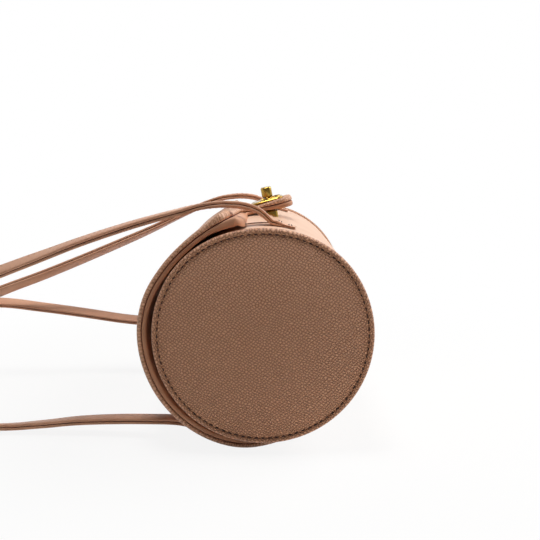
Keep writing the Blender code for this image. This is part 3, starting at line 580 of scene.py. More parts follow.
rows = spans((PANEL_DEG[0], MOUTH_DEG[0], 24), (*MOUTH_DEG, 26), (MOUTH_DEG[1], PANEL_DEG[1], 4))
columns = spans((-PANEL_HALF, -MOUTH_HALF, 5), (-MOUTH_HALF, MOUTH_HALF, 17), (MOUTH_HALF, PANEL_HALF, 5))
places = []
for degrees in rows:
    run = math.radians(min(degrees - PANEL_DEG[0], PANEL_DEG[1] - degrees)) * BARREL_RADIUS
    drawn = PANEL_CORNER - math.sqrt(max(PANEL_CORNER ** 2 - max(PANEL_CORNER - run, 0.0) ** 2, 0.0))
    shrink = (PANEL_HALF - drawn) / PANEL_HALF
    places += [settled(on_barrel(BARREL_RADIUS + PANEL_LIFT, degrees, y * shrink)) for y in columns]
bm = bmesh.new()
bmesh.ops.create_grid(bm, x_segments=len(columns) - 1, y_segments=len(rows) - 1, size=1.0)
for vert, place in zip(bm.verts, places):
    vert.co = place
turn_out(bm)
cut_mouth(bm)
panel = thickened(new_piece("mouth_panel", bm, BODY_LEATHER, "smooth_leather"), PANEL_THICKNESS, 0.0)
# The edge faces get the dark colour: edge paint and painted shade along the panel's edge.
panel.data.materials.append(EDGE_PAINT_AND_SHADE)
for face in panel.data.polygons:
    out = away_from_axis(face.center).normalized()
    face.material_index = 1 if abs(face.normal.dot(out)) < 0.6 else 0
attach(panel, "bag")
for end, side in ENDS:
    seam_round(
        f"{end}_body_seam", BARREL_RADIUS, side * (HALF - BODY_SEAM_INSET), BODY_SEAM_STITCHES,
        away_from_axis, 2.4 * MM, 0.5 * MM, PALE_THREAD,
    )
print("panel faces:", len(panel.data.polygons))

# %% [markdown]
# ## The flap and its tab
#
# The flap is sewn on under the back, comes up round the barrel and ends at the front in a tab. It is two
# plies with a thin dark board between them: pebbled outside, smooth inside, both with edges rolled to a half
# round that meet in a dark groove. A saddler cuts each ply flat with its tab, turns its edge and then bends
# it round, and so does this script: a flat outline is inset in rings to roll its edge, cut into strips, and
# bent. On its far half the flap's front lies closer to the barrel, and its two front corners curl up with
# their layers a little open.

# %% The flap's shape
FLAP_HALF = HALF - 8 * MM
FLAP_STANDOFF, FLAP_FAR_STANDOFF = 10.6 * MM, 5.9 * MM
FLAP_THICKNESS = 5.4 * MM
FLAP_FRONT_DEG, FLAP_ROOT_DEG = 103, 281
FLAP_PER_DEGREE = 1.152 * MM
FLAP_DROP_DEG = (146, 184)
FLAP_DROP_WIDTH = 1.3 * FLAP_HALF
FLAP_CORNER_REACH = (6 * MM, 12 * MM)
CORNER_CURL, CORNER_OPEN = 3.2 * MM, 5.0 * MM
CORNER_FROM, CORNER_WIDTH = 55 * MM, 30 * MM
CORNER_TO_DEG, CORNER_DEG = 121, 17
STANDOFF_SHARES = (
    (103, 0.84), (110, 0.79), (120, 0.72), (130, 0.67), (140, 0.69), (150, 0.76), (160, 0.88), (170, 0.96),
    (180, 1.0), (200, 1.0), (220, 0.98), (240, 0.93), (250, 0.88), (257, 0.82), (264, 0.71), (272, 0.53),
    (281, 0.33),
)


def looked_up(table, where):
    """The value at `where` in a table of (place, value), on a smooth curve through its rows."""
    if where <= table[0][0]:
        return table[0][1]
    for i in range(len(table) - 1):
        (x0, y0), (x1, y1) = table[i], table[i + 1]
        if where <= x1:
            before = table[i - 1] if i else table[i]
            after = table[i + 2] if i + 2 < len(table) else table[i + 1]
            t = (where - x0) / (x1 - x0)
            slope0 = (y1 - before[1]) / (x1 - before[0]) * (x1 - x0)
            slope1 = (after[1] - y0) / (after[0] - x0) * (x1 - x0)
            return (
                (2 * t ** 3 - 3 * t ** 2 + 1) * y0 + (t ** 3 - 2 * t ** 2 + t) * slope0
                + (3 * t ** 2 - 2 * t ** 3) * y1 + (t ** 3 - t ** 2) * slope1
            )
    return table[-1][1]


def smooth_step(share):
    share = min(max(share, 0.0), 1.0)
    return share * share * (3 - 2 * share)


def corner_share(degrees, y):
    """1 at the flap's two front corners, falling to 0 around them."""
    outward = smooth_step((abs(y) - CORNER_FROM) / CORNER_WIDTH)
    return outward * smooth_step((CORNER_TO_DEG - degrees) / CORNER_DEG)


def flap_outer_radius(degrees, y):
    near = BARREL_RADIUS + FLAP_STANDOFF * looked_up(STANDOFF_SHARES, degrees)
    far = min(near, BARREL_RADIUS + FLAP_FAR_STANDOFF)
    drop = smooth_step((FLAP_DROP_DEG[1] - degrees) / (FLAP_DROP_DEG[1] - FLAP_DROP_DEG[0]))
    across = smooth_step((y + FLAP_HALF) / FLAP_DROP_WIDTH)
    return near + (far - near) * drop * across + CORNER_CURL * corner_share(degrees, y)


print("flap stands off at its back, in mm:", in_mm([flap_outer_radius(180, 0) - BARREL_RADIUS]))

# %% [markdown]
# Past the flap's front edge the plate goes on as the tab. It dips a little where it leaves the flap, then
# climbs at 17 degrees to its fat, rounded nose. Two short tables give the height of the tab's upper skin and
# how thick it is, and one function gives the upper and the lower skin for any flat place on flap or tab.

# %% The two skins of flap and tab
TAB_TOP = (
    (-14.9, 63.2), (-11.0, 63.2), (-7.0, 64.0), (-3.5, 65.2), (2.3, 67.05), (8.0, 68.85), (14.0, 70.7),
    (19.0, 72.2),
)
TAB_THICK = (
    (-14.9, 5.4), (-11.0, 4.6), (-7.0, 4.1), (-3.5, 4.0), (1.5, 4.7), (8.0, 5.8), (14.0, 6.5), (19.0, 6.6),
)
TAB_RUN = 0.96
TAB_LENGTH, TAB_HALF = 33.6 * MM, 13.0 * MM
TAB_BLEND = (15 * MM, 8 * MM)
TAB_LETS_GO = 8
TAB_DOWN = Vector((0.225, 0.0, -0.974))
TAB_DROOP = 0.7
FLAP_CLEARANCE = 0.2 * MM


def skins(along, y):
    """The outer and inner skin over a flat place: `along` is positive on the flap and negative on the tab."""
    degrees = FLAP_FRONT_DEG + along / FLAP_PER_DEGREE
    radius = flap_outer_radius(max(degrees, FLAP_FRONT_DEG), y)
    droop = TAB_DROOP * max(-along, 0.0)
    deep = FLAP_THICKNESS + CORNER_OPEN * corner_share(degrees, y)
    deep = min(deep, radius - BARREL_RADIUS - FLAP_CLEARANCE)
    outer, inner = on_barrel(radius - droop, degrees, y), on_barrel(radius - deep - droop, degrees, y)
    if along >= 0:
        return outer, inner
    edge = on_barrel(radius, FLAP_FRONT_DEG, y)
    x = (edge.x - AXIS_X - along * TAB_RUN) / MM
    rise = (edge.z - AXIS_Z) / MM - TAB_TOP[0][1]
    height = looked_up(TAB_TOP, x) + rise * (1 - smooth_step((x - TAB_TOP[0][0]) / TAB_LETS_GO))
    thick = looked_up(TAB_THICK, x)
    top = Vector((AXIS_X + x * MM, y, AXIS_Z + height * MM))
    low = top + TAB_DOWN * thick * MM
    on_tab = 1 - smooth_step((abs(y) - TAB_BLEND[0]) / TAB_BLEND[1])
    return outer.lerp(top, on_tab), inner.lerp(low, on_tab)


print("tab's nose, past the axis in mm:", in_mm([skins(-TAB_LENGTH, 0.0)[0].x - AXIS_X]))

# %% [markdown]
# An outline is a short list of corners, each with how far its rounding reaches toward its two neighbours.
# The face it encloses is inset ring by ring, and each ring is lifted as a quarter circle rises, which rolls
# the edge. A mirror adds the other half. A block with rounded edges serves to cut the hole for the lock.

# %% A flat plate with a rolled edge
CORNER_STEPS, ROLL_RINGS = 7, 5


def rounded_outline(corners):
    """Points round a closed outline of (x, y, reach toward the corner before, reach toward the one after)."""
    points = []
    for i, (x, y, back, ahead) in enumerate(corners):
        here = Vector((x, y))
        before = (Vector(corners[i - 1][:2]) - here).normalized()
        after = (Vector(corners[(i + 1) % len(corners)][:2]) - here).normalized()
        for step in range(CORNER_STEPS + 1 if back else 1):
            turn = math.radians(90 * step / CORNER_STEPS)
            points.append(here + before * back * (1 - math.sin(turn)) + after * ahead * (1 - math.cos(turn)))
    return points


def cut_plate(outline, upper_roll, lower_roll):
    """A flat plate whose edge rolls up to its upper face by one radius and down by another."""
    bm = bmesh.new()
    face = bm.faces.new([bm.verts.new((point.x, point.y, 0.0)) for point in outline])
    for ring in range(ROLL_RINGS):
        low, high = math.radians(90 * ring / ROLL_RINGS), math.radians(90 * (ring + 1) / ROLL_RINGS)
        bmesh.ops.inset_region(
            bm, faces=[face], thickness=upper_roll * (math.cos(low) - math.cos(high)), use_boundary=True,
            use_even_offset=True,
        )
        for vert in face.verts:
            vert.co.z = upper_roll * math.sin(high)
    bmesh.ops.mirror(bm, geom=bm.verts[:] + bm.edges[:] + bm.faces[:], axis="Z", merge_dist=ON_PLANE)
    below = [vert for vert in bm.verts if vert.co.z < 0]
    bmesh.ops.scale(bm, vec=(1.0, 1.0, lower_roll / upper_roll), verts=below)
    bmesh.ops.recalc_face_normals(bm, faces=bm.faces)
    return bm


def rounded_block(low, high, corner, edge=0.0):
    """A block between two corners, its upright edges rounded by `corner` and its level ones by `edge`."""
    low, high = Vector(low), Vector(high)
    size = high - low
    bm = bmesh.new()
    bmesh.ops.create_cube(
        bm, size=1.0, matrix=Matrix.Translation((low + high) / 2) @ Matrix.Diagonal((*size, 1.0)),
    )
    for level, width, segments in ((False, corner, 8), (True, edge, 4)):
        chosen = [e for e in bm.edges if (abs(e.verts[0].co.z - e.verts[1].co.z) < size.z / 100) is level]
        if width:
            bmesh.ops.bevel(
                bm, geom=chosen, offset=width, offset_type="OFFSET", segments=segments, profile=0.5,
                affect="EDGES", material=-1, clamp_overlap=True,
            )
    return bm


print("points on a rounded corner:", CORNER_STEPS + 1)

# %% [markdown]
# The three layers differ only in depth, thickness and how far their edge is drawn in: the board ends a
# little inside the rolls, so that only a dark line of it shows. The inner ply is cut a little longer at the
# front. The hole for the lock goes through all three while they are flat. Cutting planes give each plate
# rows to bend along.

# %% Flap layers
HOLE = ((-28.6 * MM, -9.9 * MM, -15 * MM), (-12.4 * MM, 9.9 * MM, 15 * MM), 4.6 * MM)
BEND_ROWS, BEND_LANES = spread_out(-33.1, 203.3, 150), range(-80, 81, 10)
TAB_BEND, NOSE_BEND = 3.2 * MM, 7.8 * MM
LAYERS = (
    # name, then in mm its depth, upper roll, lower roll and how far drawn in, longer and slanted in front
    ("flap_outer_leather", (0.0, 1.85, 0.9, 0.0, 0.0, 3.5), FLAP_LEATHER, "pebbled_leather",
     ("flap_back_outer", "flap_front_outer", "closing_tab_outer")),
    ("flap_inner_leather", (2.95, 0.9, 1.55, 0.0, 4.2, 0.0), INNER_LEATHER, "flap_inner_leather",
     ("flap_back_inner", "flap_front_inner", "closing_tab_inner")),
    # The board's dark colour is painted shade in the groove between the plies.
    ("flap_board", (2.65, 0.2, 0.2, 0.6, 0.0, 3.5), FLAP_BOARD_GROOVE_SHADE, "stiffener_board",
     ("flap_back_board", "flap_front_board")),
)


def flat_layer(upper_roll, lower_roll, drawn_in, longer, slant):
    """The flat plate of one layer of flap and tab."""
    root = (FLAP_ROOT_DEG - FLAP_FRONT_DEG) * FLAP_PER_DEGREE - drawn_in
    wide, narrow = FLAP_HALF - drawn_in, TAB_HALF - drawn_in
    front, nose = drawn_in - longer, drawn_in - TAB_LENGTH
    reach_x, reach_y = FLAP_CORNER_REACH
    corners = [
        (root, -wide, 0, 0), (root, wide, 0, 0), (front + slant, wide, reach_x, reach_y),
        (front, narrow, TAB_BEND, TAB_BEND), (nose, narrow, NOSE_BEND, NOSE_BEND),
        (nose, -narrow, NOSE_BEND, NOSE_BEND), (front, -narrow, TAB_BEND, TAB_BEND),
        (front + slant, -wide, reach_y, reach_x),
    ]
    return cut_plate(rounded_outline(corners)[::-1], upper_roll, lower_roll)


def flap_layer(name, depth, upper_roll, plate, finish, slot):
    """The layer whose upper face lies `depth` under the flap's outer skin, with its hole, bent round."""
    piece = new_piece(name, plate, finish, slot)
    cutter = new_piece("cutter", rounded_block(*HOLE), finish, slot)
    hole = piece.modifiers.new("hole", "BOOLEAN")
    hole.object, hole.solver = cutter, "EXACT"
    apply_modifiers(piece)
    bpy.data.objects.remove(cutter)
    bm = bmesh.new()
    bm.from_mesh(piece.data)
    bpy.data.objects.remove(piece)
    cut_rows(bm, [row * MM for row in BEND_ROWS], [lane * MM for lane in BEND_LANES])
    lay_pattern(bm, lambda place, middle: (place.x, place.y))
    for vert in bm.verts:
        outer, inner = skins(vert.co.x, vert.co.y)
        vert.co = outer.lerp(inner, (depth + upper_roll - vert.co.z) / FLAP_THICKNESS)
        vert.co.z = max(vert.co.z, 0.0)
    bmesh.ops.recalc_face_normals(bm, faces=bm.faces)
    return new_piece(name, bm, finish, slot, smooth=50)


for name, sizes, finish, slot, replaced in LAYERS:
    depth, *others = [size * MM for size in sizes]
    layer = flap_layer(name, depth, others[0], flat_layer(*others), finish, slot)
    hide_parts(*replaced)
    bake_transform(layer)
    print(layer.name, "faces:", len(layer.data.polygons))

# %% [markdown]
# ## The turn lock
#
# The lock's plates and knob are cast metal, tumbled round at the edges and plated. The knob and the foot
# stand in the lock's own frame, which leans as the bag's lock does. They are blocks whose upright edges are
# bevelled wide and whose top edges are bevelled small, which is what catches the light.

# %% Knob and foot
LOCK_X = 4.4 * MM
LOCK_LEAN = math.radians(11)
LOCK_SEAT = BARREL_RADIUS + 2.9 * MM
lock_frame = (
    Matrix.Translation((AXIS_X + LOCK_X, 0.0, AXIS_Z + LOCK_SEAT)) @ Matrix.Rotation(-LOCK_LEAN, 4, "Y")
)


CASTINGS = (
    # name, node and body, then in mm its two corners in the lock's frame and its upright and level roundings
    ("lock_turn_knob", "lock_knob", "knob", (-3.4, -7.3, 8.7), (3.4, 7.3, 15.2), 2.7, 0.9),
    ("lock_foot", "lock_base", "bag", (-5.4, -11.2, -5.9), (4.6, 11.2, -0.1), 2.4, 0.6),
)
for name, node, body_name, low, high, corner, edge in CASTINGS:
    bm = rounded_block([place * MM for place in low], [place * MM for place in high], corner * MM, edge * MM)
    bmesh.ops.transform(bm, matrix=lock_frame, verts=bm.verts)
    piece = new_piece(name, bm, GOLD, "gold_plated_metal", smooth=40)
    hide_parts(node)
    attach(piece, body_name)
    print(name, "top in mm:", in_mm(lock_frame @ Vector((0.0, 0.0, high[2] * MM))))

# %% [markdown]
# The eyelet is pressed from sheet: a flat plate with a raised collar round the slot. Its section is a ring of
# outlines, each a little higher or wider than the one before, and bridging each outline to the next makes the
# surface. The same way makes the flat washer that holds it from below.

# %% Eyelet and washer
SLOT = (-3.4 * MM, 8.6 * MM, 8.1 * MM, 4.2 * MM)
PLATE = (-10.2 * MM, 11.0 * MM, 11.5 * MM, 5.0 * MM)


def ring_outline(shape, grow):
    """A rounded rectangle (back, front, half length, corner), grown outwards."""
    back, front, half, corner = shape
    back, front, half, corner = back - grow, front + grow, half + grow, corner + grow
    return rounded_outline([
        (front, -half, corner, corner), (front, half, corner, corner), (back, half, corner, corner),
        (back, -half, corner, corner),
    ])


def bridged_ring(name, section, place, finish, slot):
    """A closed ring whose section is a list of (shape, growth, height)."""
    bm = bmesh.new()
    loops = []
    for shape, grow, height in section:
        verts = [bm.verts.new((point.x, point.y, height * MM)) for point in ring_outline(shape, grow * MM)]
        loops.append([bm.edges.new(pair) for pair in zip(verts, verts[1:] + verts[:1])])
    for one, other in zip(loops, loops[1:] + loops[:1]):
        bmesh.ops.bridge_loops(bm, edges=one + other)
    bmesh.ops.recalc_face_normals(bm, faces=bm.faces)
    bmesh.ops.transform(bm, matrix=place, verts=bm.verts)
    return new_piece(name, bm, finish, slot, smooth=45)


def on_tab(x, share, tilt_deg):
    """A frame on the tab: `share` is 0 at its upper skin and 1 at its lower one."""
    along = -(x * MM + AXIS_X - skins(0.0, 0.0)[0].x) / TAB_RUN
    outer, inner = skins(along, 0.0)
    return Matrix.Translation(outer.lerp(inner, share)) @ Matrix.Rotation(-math.radians(tilt_deg), 4, "Y")


eyelet = bridged_ring("lock_eyelet", (
    (SLOT, 0.0, -0.9), (SLOT, 0.0, 1.8), (SLOT, 0.12, 2.05), (SLOT, 0.4, 2.2), (SLOT, 0.75, 2.1),
    (SLOT, 1.0, 1.9), (SLOT, 1.1, 1.6), (PLATE, -0.8, 1.5), (PLATE, -0.3, 1.3), (PLATE, 0.0, 0.8),
    (PLATE, -0.2, 0.3),
    (PLATE, -0.5, 0.05), (SLOT, 1.0, 0.05), (SLOT, 0.9, -0.9),
), on_tab(2.3, 0.0, 15.4), GOLD, "gold_plated_metal")
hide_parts("eyelet_plate")
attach(eyelet, "flap")
washer = bridged_ring("lock_eyelet_washer", (
    (SLOT, 0.3, 0.1), (SLOT, 0.3, -0.45), (SLOT, 2.4, -0.45), (SLOT, 2.6, -0.2), (SLOT, 2.5, 0.1),
), on_tab(2.3, 1.0, 9.0), GOLD, "gold_plated_metal")
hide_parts("eyelet_washer")
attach(washer, "flap")
print("eyelet faces:", len(eyelet.data.polygons))

# %% [markdown]
# The spindle is a turned pin that is almost out of sight, so a copy of the frame's own solid, its loose
# triangles merged, with a small rounding on its edges is enough.

# %% Spindle
bm = bmesh.new()
bm.from_mesh(nodes["lock_spindle"].data)
bmesh.ops.remove_doubles(bm, verts=bm.verts, dist=MERGE)
bmesh.ops.dissolve_limit(bm, angle_limit=math.radians(1), verts=bm.verts, edges=bm.edges)
spindle = edges_rounded(new_piece("lock_turn_spindle", bm, GOLD, "gold_plated_metal"), 0.2 * MM, 2, 35, 50)
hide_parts("lock_spindle")
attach(spindle, "knob")
print("lock leans by", round(math.degrees(LOCK_LEAN)), "degrees")

# %% [markdown]
# ## The straps
#
# Each strap is two plies of smooth leather with turned edges, sewn together, with a dark groove where the
# edges meet. It is flat on the barrel at its sewn ends, then rises, leans over and turns on its side at the
# bight. A section is swept along the strap's route: the outline is extruded from one place to the next, and
# each new ring is turned to that place's own frame, so the strap leans as the real one does.

# %% Strap routes
STRAP_WIDTH = 9.2 * MM
STRAP_PLY = 1.5 * MM
STRAP_GROOVE = 0.6 * MM
STRAP_THICKNESS = 2 * STRAP_PLY + STRAP_GROOVE
GAP = 0.3 * MM
STRAP_HALF_SPAN = HALF - 27 * MM
FRONT_SEWN_DEG, FRONT_LEG_END_DEG, BACK_SEWN_DEG = 83.5, 124.5, 225.5
FRONT_SEWN_LENGTH, BACK_SEWN_LENGTH = 11.2 * MM, 14.5 * MM
FRONT_BIGHT = Vector((AXIS_X - 285.0 * MM, 0.0, AXIS_Z - 28.5 * MM))
BACK_BIGHT = Vector((AXIS_X - 301.5 * MM, 0.0, AXIS_Z - 37.0 * MM))

NEAR_LEG_SHARES = (
    (0.0, 0.0, 0), (0.05, 0.03, -1), (0.14, 0.31, -4), (0.23, 0.59, -6), (0.38, 0.885, -7), (0.60, 1.21, -6),
    (0.82, 1.51, -2), (1.0, 1.78, 4),
)
FAR_LEG_SHARES = (
    (0.0, 0.0, 0), (0.05, 0.03, 0), (0.14, 0.30, 0), (0.30, 0.60, 0), (0.46, 0.81, 0), (0.61, 0.97, 0),
    (0.78, 1.15, 2), (1.0, 1.36, 4),
)
FRONT_NEAR_SHARES = (
    (0.0, 1.0, 0.0, 4), (0.07, 0.985, 0.036, 6), (0.14, 0.97, 0.064, 10), (0.24, 0.94, 0.088, 15),
    (0.335, 0.91, 0.095, 22), (0.435, 0.895, 0.102, 30), (0.60, 0.85, 0.107, 40), (0.77, 0.76, 0.127, 55),
    (0.895, 0.59, 0.106, 72), (0.975, 0.32, 0.054, 84), (1.0, 0.0, 0.0, 90),
)
FRONT_FAR_SHARES = (
    (0.0, 1.0, 0.0, 4), (0.075, 1.0, -0.032, 8), (0.165, 0.985, -0.077, 16), (0.255, 0.97, -0.106, 24),
    (0.37, 0.925, -0.135, 30), (0.49, 0.865, -0.154, 35), (0.605, 0.80, -0.157, 40),
    (0.775, 0.71, -0.176, 55), (0.90, 0.56, -0.156, 72), (0.975, 0.30, -0.08, 84), (1.0, 0.0, 0.0, 90),
)
BACK_NEAR_SHARES = (
    (0.0, 1.0, 0.0, 0), (-0.018, 1.0, -0.088, 0), (0.010, 1.0, -0.084, 0), (0.04, 0.995, -0.09, 0),
    (0.128, 0.94, -0.132, 0), (0.225, 0.91, -0.182, 3), (0.315, 0.885, -0.252, 8), (0.415, 0.875, -0.308, 14),
    (0.575, 0.88, -0.327, 24), (0.735, 0.85, -0.281, 40), (0.865, 0.73, -0.207, 60),
    (0.965, 0.425, -0.111, 80), (1.0, 0.0, 0.0, 90),
)
BACK_FAR_SHARES = (
    (0.0, 1.0, 0.0, 0), (0.018, 1.0, 0.055, 2), (0.042, 1.0, 0.14, 6), (0.072, 1.0, 0.245, 10),
    (0.104, 1.0, 0.32, 14), (0.121, 1.0, 0.34, 16), (0.21, 0.99, 0.362, 16), (0.325, 0.99, 0.411, 17),
    (0.45, 0.99, 0.456, 18), (0.575, 0.99, 0.485, 22), (0.735, 0.94, 0.437, 40), (0.865, 0.775, 0.304, 60),
    (0.965, 0.425, 0.128, 80), (1.0, 0.0, 0.0, 90),
)
FAR_LIFT, FAR_PUSH = 3.2 * MM, 2.2 * MM


def sewn_fullness(share):
    """How much of the strap's thickness is left in its sewn end, skived thin toward its free edge."""
    return 0.36 + 0.44 * (1 - smooth_step(share / 0.55))


def sewn_route(floor_radius, start_deg, direction, length, y):
    """The sewn end, from its free edge, where it is skived thin, to the place where the strap leaves it."""
    turn = direction * math.degrees(length / floor_radius)
    made = []
    for share in spread_out(1.0, 0.08, 6):
        full = sewn_fullness(share)
        place = on_barrel(floor_radius + full * STRAP_THICKNESS / 2, start_deg + turn * share, y)
        made.append((*settled(place), 0, full))
    return made


def leg_route(shares, y):
    made = []
    for way, lift, lean in shares:
        degrees = FRONT_SEWN_DEG + (FRONT_LEG_END_DEG - FRONT_SEWN_DEG) * way
        full = 0.82 + 0.18 * smooth_step(way / 0.2)
        place = on_barrel(BARREL_RADIUS + GAP + full * STRAP_THICKNESS / 2 + FLAP_STANDOFF * lift, degrees, y)
        made.append((*settled(place), lean, full))
    return made


def run_route(shares, start, bight, side, rise_by):
    """A strap's run from its leg to its bight. Its far half hangs a little higher, as photographed."""
    made = []
    for way, span, bow, lean in shares:
        place = start.lerp(bight, way)
        y = side * STRAP_HALF_SPAN * span
        far = (y / STRAP_HALF_SPAN + 1) / 2 * (1 - smooth_step((way - 0.6) / 0.4))
        far *= smooth_step(way / rise_by) if rise_by else 1.0
        made.append((place.x - FAR_PUSH * far, y, place.z + BARREL_RADIUS * bow + FAR_LIFT * far, lean, 1.0))
    return made


def smooth_route(points, spans):
    """Points of a smooth curve through the route's own points."""
    made = []
    for i in range(len(points) - 1):
        before, start, end = points[max(i - 1, 0)], points[i], points[i + 1]
        after = points[min(i + 2, len(points) - 1)]
        for step in range(spans):
            t = step / spans
            made.append(tuple(
                0.5 * (2 * b + (c - a) * t + (2 * a - 5 * b + 4 * c - d) * t * t
                       + (3 * b - a - 3 * c + d) * t ** 3)
                for a, b, c, d in zip(before, start, end, after)
            ))
    made.append(tuple(points[-1]))
    return made


def run_length(route):
    return sum((Vector(after[:3]) - Vector(before[:3])).length for before, after in zip(route, route[1:]))


print("strap width and thickness in mm:", in_mm((STRAP_WIDTH, STRAP_THICKNESS)))

# %% [markdown]
# The section of a ply is a rectangle with rolled corners. Its ring of edges is extruded along the route, the
# same section serves both plies, mirrored, and a narrower one makes the dark core that shows in the groove,
# its dark colour partly painted shade in the groove.
# A strap's stitches are measured off along it at their real spacing, in two rows on each face.

# %% Sweeping a ply


def strap_frames(route, up):
    """A frame at each place of the route: X across the strap, Y out of its outer face, Z along it."""
    frames = []
    for i, point in enumerate(route):
        before, after = route[max(i - 1, 0)], route[min(i + 1, len(route) - 1)]
        along = (Vector(after[:3]) - Vector(before[:3])).normalized()
        side = along.cross(Vector((0.0, 0.0, 1.0))).normalized()
        level = side.cross(along).normalized()
        lean = math.radians(point[3])
        out = level * math.cos(lean) * up - side * math.sin(lean)
        across = out.cross(along).normalized()
        turned = Matrix.Translation(point[:3]) @ Matrix((across, out, along)).transposed().to_4x4()
        frames.append(turned @ Matrix.Diagonal((1.0, point[4], 1.0, 1.0)))
    return frames


def section_outline(half, low, high, outer_roll, inner_roll, face):
    """A flat section with rolled corners, from `low` to `high` on one face of the strap."""
    points = []
    for cx, cy, radius, start in (
        (half - outer_roll, high - outer_roll, outer_roll, 0),
        (outer_roll - half, high - outer_roll, outer_roll, 90),
        (inner_roll - half, low + inner_roll, inner_roll, 180),
        (half - inner_roll, low + inner_roll, inner_roll, 270),
    ):
        for step in range(4):
            angle = math.radians(start + step * 30)
            points.append((cx + radius * math.cos(angle), face * (cy + radius * math.sin(angle))))
    return points[::face]


def swept_ply(name, frames, outline, finish, slot):
    """Extrudes an outline from frame to frame."""
    bm = bmesh.new()
    verts = [bm.verts.new(frames[0] @ Vector((x, y, 0.0))) for x, y in outline]
    bm.faces.new(verts)
    ring = list(bm.edges)
    for before, after in zip(frames, frames[1:]):
        made = bmesh.ops.extrude_edge_only(bm, edges=ring)["geom"]
        moved = [item for item in made if isinstance(item, bmesh.types.BMVert)]
        grown = [item for item in made if isinstance(item, bmesh.types.BMEdge)]
        ring = [edge for edge in grown if all(vert in moved for vert in edge.verts)]
        bmesh.ops.transform(bm, matrix=after @ before.inverted(), verts=moved)
    bmesh.ops.holes_fill(bm, edges=ring, sides=0)
    bmesh.ops.recalc_face_normals(bm, faces=bm.faces)
    return new_piece(name, bm, finish, slot, smooth=50)


def strap_stitches(name, frames, spacing, inset, face):
    """Two rows of stitches on one face of a strap, spaced evenly along it."""
    places = []
    run = 0.0
    for before, after in zip(frames, frames[1:]):
        step = (after.translation - before.translation).length
        while run < step:
            place = before.lerp(after, run / step)
            for side in (-1, 1):
                across = side * (STRAP_WIDTH / 2 - inset)
                offset = Matrix.Translation((across, face * (STRAP_THICKNESS / 2 - 0.06 * MM), 0.0))
                places.append(place @ offset @ Matrix.Rotation(math.radians(90), 4, "Y"))
            run += spacing
        run -= step
    return stitch_row(name, places, 2.3 * MM, 0.42 * MM, PALE_THREAD)


def strap(name, frames, cored, outer_nodes, inner_nodes):
    """Two plies, their stitches and, where `cored`, the dark core."""
    half, core = STRAP_WIDTH / 2, 0.45 * MM
    made = []
    for label, face, replaced in (("outer", 1, outer_nodes), ("inner", -1, inner_nodes)):
        outline = section_outline(half, 0.08 * MM, STRAP_THICKNESS / 2, 0.75 * MM, 0.85 * MM, face)
        ply = swept_ply(f"{name}_{label}", frames, outline, STRAP_LEATHER, "smooth_leather")
        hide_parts(*replaced)
        made += [ply, strap_stitches(f"{name}_{label}_seam", frames, 3.4 * MM, 1.7 * MM, face)]
    # The core's dark colour is partly painted shade in the groove between the plies.
    outline = section_outline(half - 0.45 * MM, -core, core, 0.2 * MM, 0.2 * MM, 1)
    made.append(swept_ply(f"{name}_core", frames[cored], outline, EDGE_PAINT_AND_SHADE, "smooth_leather"))
    for piece in made:
        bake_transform(piece)


print("section points of a ply:", len(section_outline(2, 0, 1, 0.2, 0.2, 1)))

# %% [markdown]
# A strap crosses its hinge where it leaves the stitching, and the front strap bends once more at the end of
# its legs. Leather has no gap there, so each stretch is one mesh. The front strap is three stretches, which
# meet in the middle of its legs.

# %% Front strap
SPANS = 6
SEWN_STATIONS = 5 * SPANS
LEG_CUT = 12 * MM
front_floor = BARREL_RADIUS + GAP
roots, arch_ends, run = {}, {}, []
for end, side, shares, arch_shares in (
    ("near", -1, NEAR_LEG_SHARES, FRONT_NEAR_SHARES), ("far", 1, FAR_LEG_SHARES, FRONT_FAR_SHARES),
):
    y = side * STRAP_HALF_SPAN
    leg = leg_route(shares, y)
    whole = smooth_route(sewn_route(front_floor, FRONT_SEWN_DEG, -1, FRONT_SEWN_LENGTH, y) + leg, SPANS)
    cut_at = min(range(len(whole)), key=lambda i: abs(whole[i][0] - (AXIS_X - LEG_CUT)))
    roots[end], arch_ends[end] = whole[:cut_at + 1], whole[cut_at:]
    last = Vector(leg[-1][:3])
    if end == "far":
        last -= Vector((-FAR_PUSH, 0.0, FAR_LIFT))
    half_run = run_route(arch_shares, last, FRONT_BIGHT, side, 0)
    run += half_run if end == "near" else half_run[-2::-1]

arch_route = arch_ends["near"] + smooth_route(run, SPANS)[1:-1] + arch_ends["far"][::-1]
for end, route, cored in (
    ("near", roots["near"], slice(SEWN_STATIONS, None)),
    ("far", roots["far"][::-1], slice(None, -SEWN_STATIONS)),
):
    node = f"front_handle_{end}"
    strap(
        f"front_strap_{end}", strap_frames(route, 1), cored, (f"{node}_leg_outer", f"{node}_sewn_end"),
        (f"{node}_leg_inner",),
    )
strap(
    "front_strap_arch", strap_frames(arch_route, 1), slice(None), ("front_handle_arch_outer",),
    ("front_handle_arch_inner",),
)
print("front strap, its sewn ends too, in mm:", in_mm([sum(map(run_length, (*roots.values(), arch_route)))]))

# %% [markdown]
# The back strap is one stretch. Its near sewn end sits a little lower on the flap than its far one.

